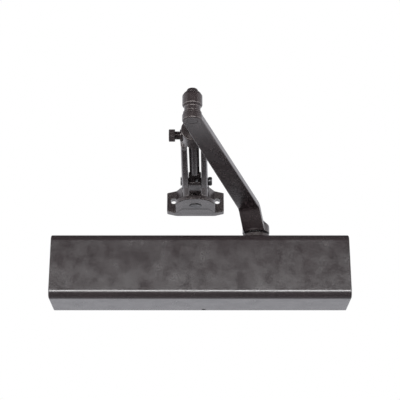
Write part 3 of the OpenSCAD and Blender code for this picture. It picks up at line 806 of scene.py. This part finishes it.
def arm_field(u, v, z):
    """The main arm: u runs from the pinion's axis to the elbow, v across"""
    half = ARM_ROOT_HALF + (ARM_END_R - ARM_ROOT_HALF) * u / ARM_REACH
    plan = np.where(u < ARM_REACH, np.abs(v) - half, np.hypot(u - ARM_REACH, v) - ARM_END_R)
    plan = np.maximum(plan, -u)
    bar = meet(plan, arm_bar(u, z), 1.1)
    r = np.hypot(u, v)
    top = ARM_Z + HUB_H
    hub = meet(r - HUB_R, slab(z, ARM_Z, top), 0.8)
    hub = meet(hub, (r + z - (HUB_R - HUB_SLOPE) - top) / math.sqrt(2), 0.8)
    arm = join(hub, bar, 1.2)
    square = np.maximum(np.abs(u), np.abs(v)) - SQUARE_HALF
    arm = cut(arm, square + 0 * z, 0.3)
    floor = ARM_Z + ARM_RISE - STUD_HOLE_DEEP
    hole = np.maximum(np.hypot(u - ARM_REACH, v) - STUD_HOLE_R, floor - z)
    return cut(arm, hole, 0.1)


def make_main_arm():
    """The forged main arm, from its square hub to its round end"""
    part = skin(arm_field, (-HUB_R, -HUB_R, ARM_Z), (ARM_REACH + ARM_END_R, HUB_R, ARM_HIGH[2]), 0.6)
    across = (-ARM_WAY[1], ARM_WAY[0])
    build("main_arm_bar", [turned(part, ARM_WAY, across, PINION)],
          "spindle_and_arm", "main_arm", ARM_PAINT)


ARM_SCREW_R = 3.4
ARM_WASHER_R = 9.8
ARM_SCREW_FLATS = 11
ARM_SCREW_FACE_R = 6.2  # the chamfer leaves a round face of this radius
HEAD_SLANT = math.sqrt(5)  # a chamfer that falls 1 in 2 is scaled by this
DISH_R, DISH_RISE = 6, 5.2  # the hollow in the head: a ball, and how far above its middle is


def make_arm_screw():
    """The washer and the hexagon-headed screw that hold the arm on the spindle"""
    under, seat = heights("arm_washer")
    ring = upright(washer(ARM_SCREW_R + 0.05, ARM_WASHER_R, under, seat, 0.3), PINION)
    build("arm_flat_washer", [ring], "spindle_and_arm", "arm_washer", BLACK)
    tip, top = heights("arm_screw")

    def field(x, y, z):
        a, b = x - PINION[0], y - PINION[1]
        r = np.hypot(a, b)
        head = meet(hexagon(b, a, ARM_SCREW_FLATS), slab(z, seat, top), 0.25)
        head = meet(head, (r + 2 * z - ARM_SCREW_FACE_R - 2 * top) / HEAD_SLANT, 0.2)
        dish = np.hypot(r, z - top - DISH_RISE) - DISH_R
        head = cut(head, dish, 0.4)
        return join(head, meet(r - ARM_SCREW_R, slab(z, tip, seat + 1), 0.3), 0.2)

    room = 6.5
    part = skin(field, (PINION[0] - room, PINION[1] - room, tip),
                (PINION[0] + room, PINION[1] + room, top), 0.3)
    build("arm_hexagon_screw", [part], "spindle_and_arm", "arm_screw", BLACK)


# ---------------- elbow and forearm

STUD_R = 4.5
NUT_FOOT_R = 8.2
NUT_TOP_R = 4.9
NUT_CONE = 3.5
NUT_DOME = 2.0
DOME_POWER = 0.7  # below 1 makes the dome fuller than a quarter circle
NUT_SOCKET = 1.4  # how far below its top the nut is hollow for the stud


def make_elbow():
    """The washer, the stud and its domed nut at the elbow"""
    ring = washer(STUD_R + 0.05, NUT_FOOT_R, *heights("elbow_washer"), 0.45)
    build("elbow_spacer", [upright(ring, ELBOW)], "spindle_and_arm", "elbow_washer",
          ARM_PAINT)
    stud = soften(bar_profile(STUD_R, *heights("elbow_stud")), 0.15)
    build("elbow_pin", [upright(lathe(stud), ELBOW)], "spindle_and_arm", "elbow_stud",
          ARM_PAINT)
    foot, top = heights("elbow_nut")
    spring_line = top - NUT_DOME
    nut = [(STUD_R, foot), (NUT_FOOT_R, foot), (NUT_TOP_R, foot + NUT_CONE), (NUT_TOP_R, spring_line)]
    dome = [(NUT_TOP_R * math.cos(a) ** DOME_POWER, spring_line + NUT_DOME * math.sin(a) ** DOME_POWER)
            for a in np.linspace(0, math.pi / 2, 9)[1:]]
    dome[-1] = (0.0, top)
    under = [(0, top - NUT_SOCKET), (STUD_R, top - NUT_SOCKET), nut[0]]
    profile = soften(nut, 0.35) + dome + under
    build("elbow_cap_nut", [upright(lathe(profile), ELBOW)], "spindle_and_arm",
          "elbow_nut", ARM_PAINT)


ROD_R = 5.0
ROD_LENGTH = 160.5
EYE_R = 8.85
NECK_R = 7.15
EYE_Z = 73.0
EYE_BORE_R = 5.65


def rod_field(u, v, z):
    """The forearm: an eye that drops to a neck, and the round rod"""
    low, high = heights("forearm_rod")
    r = np.hypot(u, v)
    eye = meet(r - EYE_R, slab(z, EYE_Z, high), 1.5)
    eye = meet(eye, (r - NECK_R - 0.1 - (z - EYE_Z)) / math.sqrt(2), 0.5)
    neck = meet(r - NECK_R, slab(z, low, EYE_Z + 2), 0.3)
    head = join(eye, neck, 0.7)
    bar = meet(rod(u, z - ROD_Z, ROD_R), slab(v, 0, ROD_LENGTH), 1.5)
    whole = join(head, bar, 1.8)
    return cut(whole, r - EYE_BORE_R + 0 * z, 0.3)


def make_rod():
    """The forearm's eye and rod"""
    low, high = heights("forearm_rod")
    part = skin(rod_field, (-EYE_R, -EYE_R, low), (EYE_R, ROD_LENGTH, high), 0.5)
    build("forearm_eye_and_rod", [on_forearm(part)], "forearm", "forearm_rod", ARM_PAINT)


# ---------------- yoke and clamp screw

RAIL_R = 7.3
HEAD_R = 11.4
HEAD_V = 58.0
HEAD_LENGTH = 30.0
SLOT_V = 76.5
SLOT_HALF = 6.7
RAIL_START = HEAD_V + 24
RAIL_HALF, RAIL_FLARE = 12.2, 1.3  # half the fork's width at its root, and how much it grows
YOKE_HALF = 13.5
PIVOT_R = 3.6
CLAMP_R = 4.0
BOSS_R = 5.6
BOSS_U = (-12.6, -9)
CLAMP_HEAD_U, CLAMP_FACE_U, CLAMP_TIP_U = -23.0, -17.2, -5.1
CLAMP_FLATS = 11
CLAMP_PITCH, THREAD_DEEP = 1.0, 0.5


def yoke_field(u, v, z):
    """The forked yoke: a round head clamped on the rod, and two rails to the pivot pin"""
    side, b = np.abs(u), z - ROD_Z
    head = meet(rod(u, b, HEAD_R), slab(v, HEAD_V, HEAD_V + HEAD_LENGTH), 0.9)
    along = (v - RAIL_START) / (PIVOT_V + RAIL_R - RAIL_START)
    half = RAIL_HALF + RAIL_FLARE * np.clip(along, 0, 1.1)
    nose = np.hypot(np.maximum(v - PIVOT_V, 0), b) - RAIL_R
    rails = meet(side - half + 0 * b, nose, 2.2)
    rails = np.maximum(rails, RAIL_START - v)
    whole = join(head, rails, 2.2)
    slot = np.maximum(side - SLOT_HALF + 0 * b, SLOT_V - v)
    whole = cut(whole, slot, 0.7)
    whole = cut(whole, rod(u, b, ROD_R + 0.05) + 0 * v, 0.3)
    whole = cut(whole, rod(v - PIVOT_V, b, PIVOT_R + 0.05) + 0 * u, 0.3)
    thread = np.maximum(rod(v - CLAMP_V, b, CLAMP_R + 0.05), u)
    return cut(whole, thread, 0.4)


def make_yoke():
    """The yoke casting"""
    part = skin(yoke_field, (-YOKE_HALF, HEAD_V, ROD_Z - HEAD_R),
                (YOKE_HALF, PIVOT_V + RAIL_R, ROD_Z + HEAD_R), 0.5)
    build("yoke_fork", [on_forearm(part)], "yoke", "yoke", ARM_PAINT)


def make_clamp_nut():
    """The raised boss round the clamp screw"""
    def field(u, v, z):
        r = np.hypot(v - CLAMP_V, z - ROD_Z)
        boss = meet(r - BOSS_R, slab(u, *BOSS_U), 0.35)
        boss = cut(boss, r - CLAMP_R - 0.05 + 0 * u, 0.2)
        return np.maximum(boss, HEAD_R - 0.02 - np.hypot(u, z - ROD_Z))

    part = skin(field, (BOSS_U[0], CLAMP_V - BOSS_R, ROD_Z - BOSS_R),
                (BOSS_U[1], CLAMP_V + BOSS_R, ROD_Z + BOSS_R), 0.3)
    build("clamp_boss", [on_forearm(part)], "yoke", "clamp_nut", ARM_PAINT)


def make_clamp_screw():
    """The hexagon-headed screw with a slot and a rolled thread"""
    outer, face, tip = CLAMP_HEAD_U, CLAMP_FACE_U, CLAMP_TIP_U

    def field(u, v, z):
        b, c = v - CLAMP_V, z - ROD_Z
        r = np.hypot(b, c)
        head = meet(hexagon(c, b, CLAMP_FLATS), slab(u, outer, face), 0.3)
        head = meet(head, (r + 2 * (outer - u) - 5.7) / HEAD_SLANT, 0.25)
        head = meet(head, (r + 2 * (u - face) - 6.0) / HEAD_SLANT, 0.25)
        slot = np.maximum(np.abs(c) - 0.6, u - outer - 1.2)
        head = cut(head, slot, 0.15)
        phase = np.mod(u / CLAMP_PITCH - np.arctan2(c, b) / TAU, 1.0)
        crest = CLAMP_R - THREAD_DEEP * (1 - np.abs(2 * phase - 1)) ** 1.3
        shank = meet(0.75 * (r - crest), slab(u, face - 1, tip), 0.3)
        return join(head, shank, 0.25)

    room = 6.4
    part = skin(field, (outer, CLAMP_V - room, ROD_Z - room),
                (tip, CLAMP_V + room, ROD_Z + room), 0.22)
    build("clamp_hexagon_screw", [on_forearm(part)], "clamp_screw", "clamp_screw", ARM_PAINT)


# ---------------- knuckle and pivot

TONGUE_HALF = 6.3
TONGUE_BACK = 9.7  # the tongue ends inside the barrel, this far before its axis
NOSE_V = 176.2
SWIVEL_R = 6.3
PLATE_CLEAR_Z = 75  # the tongue is cut away below this, over the shoe's plate
BARREL_R = 13.7
PLATE_R = 21.0
SET_SCREW_U, SET_SCREW_Z, SET_SCREW_R = 2.0, 76.5, 2.2
SET_SCREW_DOME = 2.6


def knuckle_field(u, v, z):
    """The knuckle: a barrel on the swivel pin, and a tongue between the yoke's rails"""
    low, high = heights("knuckle")
    b, c = v - SWIVEL_V, z - ROD_Z
    side_view = meet(np.maximum(NOSE_V - v, b + TONGUE_BACK), np.abs(c) - RAIL_R, 2.6)
    tongue = meet(side_view, np.abs(u) - TONGUE_HALF + 0 * c, 0.8)
    barrel = meet(rod(u, b, BARREL_R), slab(z, low + 1.3, high), 1.2)
    whole = join(tongue, barrel, 1.6)
    plate_room = np.maximum(rod(u, b, PLATE_R + 2), z - PLATE_CLEAR_Z)
    plate_room = np.maximum(plate_room, BARREL_R - np.hypot(u, b))
    whole = cut(whole, plate_room, 0.4)
    whole = cut(whole, rod(v - PIVOT_V, c, PIVOT_R + 0.02) + 0 * u, 0.3)
    whole = cut(whole, rod(u, b, SWIVEL_R + 0.05) + 0 * z, 0.4)
    screw = rod(u - SET_SCREW_U, z - SET_SCREW_Z, SET_SCREW_R) - 0.05
    return cut(whole, np.maximum(screw, v - PIVOT_V), 0.25)


def make_knuckle():
    """The knuckle casting"""
    low, high = heights("knuckle")
    part = skin(knuckle_field, (-BARREL_R, NOSE_V, low), (BARREL_R, SWIVEL_V + BARREL_R, high), 0.45)
    build("knuckle_block", [on_forearm(part)], "knuckle", "knuckle", SHOE_PAINT)


PIVOT_U = (-14.9, 13.9)  # the pin's far end, and the face under its head
PIVOT_HEAD_R, PIVOT_HEAD = 4.5, 3.8
PIVOT_HEAD_FACE_R = 3.7
PIVOT_CHAMFER, PIVOT_HEAD_CHAMFER = 0.6, 0.9
PIVOT_RING_U = (-14.7, -13.9)
SET_SCREW_GAP = 3.8  # the set screw stops this far before the pin's axis


def make_pivot():
    """The pivot pin with its head and its retaining ring"""
    left, right = PIVOT_U
    tip = right + PIVOT_HEAD
    pin = [(0, left), (PIVOT_R - PIVOT_CHAMFER, left), (PIVOT_R, left + PIVOT_CHAMFER),
           (PIVOT_R, right), (PIVOT_HEAD_R, right), (PIVOT_HEAD_R, tip - PIVOT_HEAD_CHAMFER),
           (PIVOT_HEAD_FACE_R, tip), (0, tip)]
    part = sideways(lathe(soften(pin, 0.6, steps=6)), PIVOT_V, ROD_Z)
    build("pivot_headed_pin", [on_forearm(part)], "yoke", "pivot_pin", BLACK)
    ring = washer(PIVOT_R + 0.02, PIVOT_HEAD_R, *PIVOT_RING_U, 0.2)
    build("pivot_retaining_ring", [on_forearm(sideways(ring, PIVOT_V, ROD_Z))], "yoke", "pivot_ring",
          BLACK)


def make_set_screw():
    """The small domed screw in the tongue that holds the pivot pin"""
    front, rear = NOSE_V + 0.3, PIVOT_V - SET_SCREW_GAP

    def field(u, v, z):
        a, c = u - SET_SCREW_U, z - SET_SCREW_Z
        dome = np.sqrt(a ** 2 + c ** 2 + (v - front - SET_SCREW_DOME) ** 2) - SET_SCREW_DOME
        end = np.maximum(dome, v - front - SET_SCREW_DOME)
        plug = np.minimum(end, slab(v, front + 2, rear))
        plug = meet(np.hypot(a, c) - SET_SCREW_R, plug, 0.1)
        slot = np.maximum(np.abs(a - c) / math.sqrt(2) - 0.35, v - front - 0.9)
        return cut(plug, slot, 0.1)

    part = skin(field, (SET_SCREW_U - SET_SCREW_R, front, SET_SCREW_Z - SET_SCREW_R),
                (SET_SCREW_U + SET_SCREW_R, rear, SET_SCREW_Z + SET_SCREW_R), 0.15)
    build("pivot_grub_screw", [on_forearm(part)], "knuckle", "pivot_set_screw", STEEL_Z)


# ---------------- shoe

PLATE_T = 4.5
LUG_R = 14.5
FLANGE_T = 9.5
WALL_Y = SWIVEL[1] + 9
SHOE_BACK = SHOE_HIGH[1]
SHOE_FRONT = SHOE_BACK - FLANGE_T
SHOE_HOLE_X, SHOE_HOLE_Z, SHOE_HOLE_R = 23.5, 81.0, 3.2
CANT_IN, CANT_UP = 10, 2.3  # how far each corner is cut back, across and down
SHOE_PIN_R = 6.25  # the swivel pin where the shoe holds it
POCKET_HALF, HOLLOW_HALF = 15.5, 11.5
SWIVEL_WASHER_R, SWIVEL_WASHER_T = 11, 1.2


def shoe_flange(side, y, z):
    """The screw flange, with its four corners cut back"""
    wide = SHOE_HIGH[0] - SWIVEL[0]
    z0, z1 = SHOE_LOW[2], SHOE_HIGH[2]
    c = np.abs(z - (z0 + z1) / 2) - (z1 - z0) / 2
    outline = meet(side - wide, c, 0.5)
    cant = (CANT_UP * (side - wide) + CANT_IN * (c + CANT_UP)) / math.hypot(CANT_UP, CANT_IN)
    return meet(meet(outline, cant, 0.5), slab(y, SHOE_FRONT, SHOE_BACK), 0.5)


def shoe_field(x, y, z):
    """The frame shoe: a screw flange, two lugs round the knuckle and flaring side walls"""
    side = np.abs(x - SWIVEL[0])
    b = y - SWIVEL[1]
    z0, z1 = SHOE_LOW[2], SHOE_HIGH[2]
    to_back = y - SHOE_FRONT - 1
    lower_plan = np.maximum(side - PLATE_R, np.maximum(-b, to_back))
    lower_plan = np.minimum(rod(side, b, PLATE_R), lower_plan)
    lower = meet(lower_plan, slab(z, z0, z0 + PLATE_T), 0.8)
    lug_z = z1 - PLATE_T
    upper_plan = np.maximum(side - LUG_R, np.maximum(-b, y - WALL_Y - 2))
    upper_plan = np.minimum(rod(side, b, LUG_R), upper_plan)
    upper = meet(upper_plan, slab(z, lug_z, z1), 1.2)
    run = (PLATE_R - LUG_R) / (SHOE_FRONT - WALL_Y)
    flare = np.minimum(LUG_R + run * (y - WALL_Y), PLATE_R)
    walls = np.maximum((side - flare) / math.hypot(1, run), np.maximum(WALL_Y - y, to_back))
    walls = meet(walls, slab(z, z0, z1), 0.8)
    body = join(join(lower, upper, 0.6), walls, 0.8)

    open_z = slab(z, z0 + PLATE_T, lug_z)
    pocket = np.maximum(side - POCKET_HALF, slab(y, SWIVEL[1] - 30, WALL_Y - 0.3))
    hollow = np.maximum(side - HOLLOW_HALF, slab(y, WALL_Y - 1, SHOE_FRONT))
    room = np.minimum(np.minimum(pocket, hollow), rod(side, b, BARREL_R + 1))
    body = cut(body, np.maximum(room, open_z), 0.5)
    whole = join(body, shoe_flange(side, y, z), 0.9)
    whole = cut(whole, rod(side, b, SHOE_PIN_R) + 0 * z, 0.25)
    hole = rod(side - SHOE_HOLE_X, z - SHOE_HOLE_Z, SHOE_HOLE_R)
    return cut(whole, hole + 0 * y, 0.3)


def make_shoe():
    """The shoe casting, its swivel pin and the washers on the pin"""
    part = skin(shoe_field, SHOE_LOW, SHOE_HIGH, 0.5)
    build("shoe_casting", [part], "shoe", "shoe", SHOE_PAINT)
    foot, tip = heights("swivel_pin")
    plate, lug = SHOE_LOW[2] + PLATE_T, SHOE_HIGH[2] - PLATE_T
    pin = [(0, foot), (SHOE_PIN_R, foot), (SHOE_PIN_R, plate), (SWIVEL_R, plate + 0.1),
           (SWIVEL_R, lug - 0.1), (SHOE_PIN_R, lug), (SHOE_PIN_R, tip), (0, tip)]
    build("swivel_rivet", [upright(lathe(soften(pin, 0.3)), SWIVEL)], "shoe",
          "swivel_pin", BLACK)
    lowest, highest = heights("swivel_washers")
    rings = []
    for z in (lowest, highest - SWIVEL_WASHER_T):
        ring = washer(SWIVEL_R + 0.05, SWIVEL_WASHER_R, z, z + SWIVEL_WASHER_T, 0.25)
        rings.append(upright(ring, SWIVEL))
    build("swivel_thrust_washers", rings, "shoe", "swivel_washers", BRASS)


# ---------------- spring

SPRING_WIRE_R, SPRING_R, SPRING_TURNS = 2.5, 13.0, 12
RINGS_PER_TURN, WIRE_SIDES = 40, 16


def make_spring():
    """The closing spring: a round wire coil, built at one length, though in the closer it shortens as
    the piston moves
    """
    low, high = box_mm("main_spring")
    wire, coil, turns, sides = SPRING_WIRE_R, SPRING_R, SPRING_TURNS, WIRE_SIDES
    axis_y = PINION[1]
    x0, x1 = low[0] + wire, high[0] - wire
    rings = turns * RINGS_PER_TURN
    points = []
    for i in range(rings + 1):
        a = TAU * i * turns / rings
        x = x0 + (x1 - x0) * i / rings
        for k in range(sides):
            q = TAU * k / sides
            r = coil + wire * math.cos(q)
            points.append((x + wire * math.sin(q), axis_y + r * math.cos(a), r * math.sin(a)))
    faces = [[i * sides + k, i * sides + (k + 1) % sides,
              (i + 1) * sides + (k + 1) % sides, (i + 1) * sides + k]
             for i in range(rings) for k in range(sides)]
    faces.append(list(range(sides)))
    faces.append([rings * sides + k for k in range(sides)])
    spring = build("closing_spring", [(points, faces)], "body", "main_spring", SPRING)
    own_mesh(spring)


# ---------------- CAD nodes that stay

KEPT = {
    "body_casting": ALLOY, "left_end_cap": BLACK, "right_end_cap": BLACK,
    "end_cap_seals": RUBBER, "power_adjuster": STEEL_X, "spring_seat": STEEL_X,
    "upper_bearing": STEEL_Z, "lower_bearing": STEEL_Z, "pinion_seal": RUBBER,
    "lower_pinion_cap": BLACK, "sweep_valve": BRASS, "latch_valve": BRASS,
    "backcheck_valve": BRASS, "piston": STEEL_X, "piston_seals": RUBBER,
    "check_ball": STEEL_X, "pinion_shaft": STEEL_Z, "elbow_bush": BRASS,
}


def finish_kept_nodes():
    """Gives each CAD node that stays its detailed material"""
    for name, material in KEPT.items():
        for slot in frame["nodes"][name].material_slots:
            slot.link = "OBJECT"
            slot.material = material


# ---------------- studio

CAMERA_RISE = math.radians(21.18)
CAMERA_DISTANCE = 1.2376
AIM = (0.0, -0.001, 0.0917)
LENS, SENSOR = 100.63, 36
FLOOR_Z = -0.5
FLOOR_HALF = 4.0
FLOOR_TONES = ((0.80, 0.80, 0.80), (0.84, 0.84, 0.84))


def make_camera():
    """The photograph's view: from in front and well below"""
    data = bpy.data.cameras.new("camera")
    data.lens = LENS
    data.sensor_width = SENSOR
    data.clip_end = 50
    camera = put_in_scene("camera", data)
    camera.location = (AIM[0], AIM[1] - CAMERA_DISTANCE * math.cos(CAMERA_RISE),
                       AIM[2] - CAMERA_DISTANCE * math.sin(CAMERA_RISE))
    camera.rotation_euler = (math.pi / 2 + CAMERA_RISE, 0, 0)
    bpy.context.scene.camera = camera


def make_floor():
    """A plain pale floor, well below the closer"""
    paint = Paint("floor_finish", (0.82, 0.82, 0.82), 0.0, 0.9)
    tone = paint.between(paint.noise(3, 3), *MOST)
    paint.put("Base Color", paint.mixed(tone, *FLOOR_TONES))
    half = FLOOR_HALF
    mesh = bpy.data.meshes.new("floor")
    corners = [(x * half, y * half, FLOOR_Z) for x, y in ((-1, -1), (1, -1), (1, 1), (-1, 1))]
    mesh.from_pydata(corners, [], [[0, 1, 2, 3]])
    floor = put_in_scene("floor", mesh)
    mesh.materials.append(paint.material)
    floor.visible_glossy = False


def area_light(name, place, aim, size, watts):
    """A rectangular soft light at a place, facing a point"""
    data = bpy.data.lights.new(name, "AREA")
    data.shape = "RECTANGLE"
    data.size, data.size_y = size
    data.energy = watts
    light = put_in_scene(name, data)
    light.location = place
    way = np.array(aim) - np.array(place)
    tilt = math.acos(-way[2] / np.linalg.norm(way))
    light.rotation_euler = (tilt, 0, math.atan2(way[1], way[0]) - math.pi / 2)
    return light


ROOM_BASE = 0.12
ROOM_BLUE = (1.0, 1.0, 1.06, 1)
BACK_LEVEL = 0.97
GROUND_LEVEL = 0.14
LOW_FRONT_LEVEL = 0.62


class Sky(Graph):
    """The room's brightness, put together from the direction that is looked in"""

    def __init__(self, tree):
        super().__init__(tree)
        self.nodes.clear()
        place = self.add("TexCoord").outputs["Generated"]
        axes = self.add("SeparateXYZ")
        self.links.new(place, axes.inputs["Vector"])
        self.x, self.y, self.z = (axes.outputs[k] for k in "XYZ")

    def ramp(self, value, low, high, to_low=0.0, to_high=1.0):
        """A smooth step from to_low to to_high"""
        return self.between(value, low, high, to_low, to_high, "SMOOTHSTEP")


def make_world():
    """A dark room with a bright back and sides, and a pale ground; the camera sees white"""
    world = bpy.data.worlds.new("studio")
    bpy.context.scene.world = world
    world.use_nodes = True
    sky = Sky(world.node_tree)
    away = sky.maths("ABSOLUTE", sky.x, 0)
    behind = sky.maths("ADD", sky.y, sky.maths("MULTIPLY", away, 0.9))
    level = sky.maths("SUBTRACT", sky.z, sky.maths("MULTIPLY", away, 0.45))
    back = sky.maths("MULTIPLY", sky.ramp(behind, 0.0, 0.35), sky.ramp(level, 0.28, 0.44, 1, 0))
    back = sky.maths("MULTIPLY", back, sky.ramp(sky.z, -0.75, -0.35, 0.3, 1))
    ground = sky.maths("MULTIPLY", sky.ramp(sky.z, -0.75, -0.1, 1, 0), GROUND_LEVEL)
    low = sky.maths("MULTIPLY", sky.ramp(sky.z, -0.75, -0.1), sky.ramp(sky.z, -0.06, 0.02, 1, 0))
    low = sky.maths("MULTIPLY", low, sky.ramp(sky.y, -0.3, 0.1, 1, 0))
    ground = sky.maths("ADD", ground, sky.maths("MULTIPLY", low, LOW_FRONT_LEVEL))
    back = sky.maths("MULTIPLY", back, BACK_LEVEL)
    total = sky.maths("ADD", back, sky.maths("ADD", ground, ROOM_BASE))
    room = sky.add("Background", Color=ROOM_BLUE)
    sky.links.new(total, room.inputs["Strength"])
    seen = sky.add("Background", Color=(1, 1, 1, 1))
    mix = sky.add("MixShader")
    sky.links.new(sky.add("LightPath").outputs["Is Camera Ray"], mix.inputs["Fac"])
    sky.links.new(room.outputs["Background"], mix.inputs[1])
    sky.links.new(seen.outputs["Background"], mix.inputs[2])
    sky.links.new(mix.outputs["Shader"], sky.add("OutputWorld").inputs["Surface"])
    bpy.context.scene.view_settings.view_transform = "Standard"
    bpy.context.scene.view_settings.look = "None"


STRIP_DISTANCE = 2.0
STRIP_Z = 0.075
STRIP_SIZE = (2.4, 0.47)
STRIP_WATTS = 68
SIDE_STRIPS = ((-58, 15), (58, 15), (-102, 9), (102, 9))  # turn in degrees, and watts
SIDE_STRIP_SIZE = (1.5, 0.42)
TOP_PANEL_Z, TOP_PANEL_SIZE, TOP_PANEL_WATTS = 3.2, (8.0, 8.0), 280


def make_lights():
    """Long low softboxes, which draw the bright lines along the bends, and a panel above"""
    area_light("front_strip", (0, -STRIP_DISTANCE, STRIP_Z), (0, 0, 0.02), STRIP_SIZE, STRIP_WATTS)
    for number, (turn, watts) in enumerate(SIDE_STRIPS):
        a = math.radians(turn)
        place = (STRIP_DISTANCE * math.sin(a), -STRIP_DISTANCE * math.cos(a), STRIP_Z + 0.08)
        area_light(f"side_strip_{number}", place, (0, 0, 0.05), SIDE_STRIP_SIZE, watts)
    panel = area_light("top_panel", (0, 0, TOP_PANEL_Z), (0, 0, 0), TOP_PANEL_SIZE, TOP_PANEL_WATTS)
    panel.visible_glossy = False


make_camera()
make_world()
make_lights()
make_floor()
make_cover()
make_cover_screws()
make_collar()
make_main_arm()
make_arm_screw()
make_elbow()
make_rod()
make_yoke()
make_clamp_nut()
make_clamp_screw()
make_knuckle()
make_pivot()
make_set_screw()
make_shoe()
make_spring()
finish_kept_nodes()
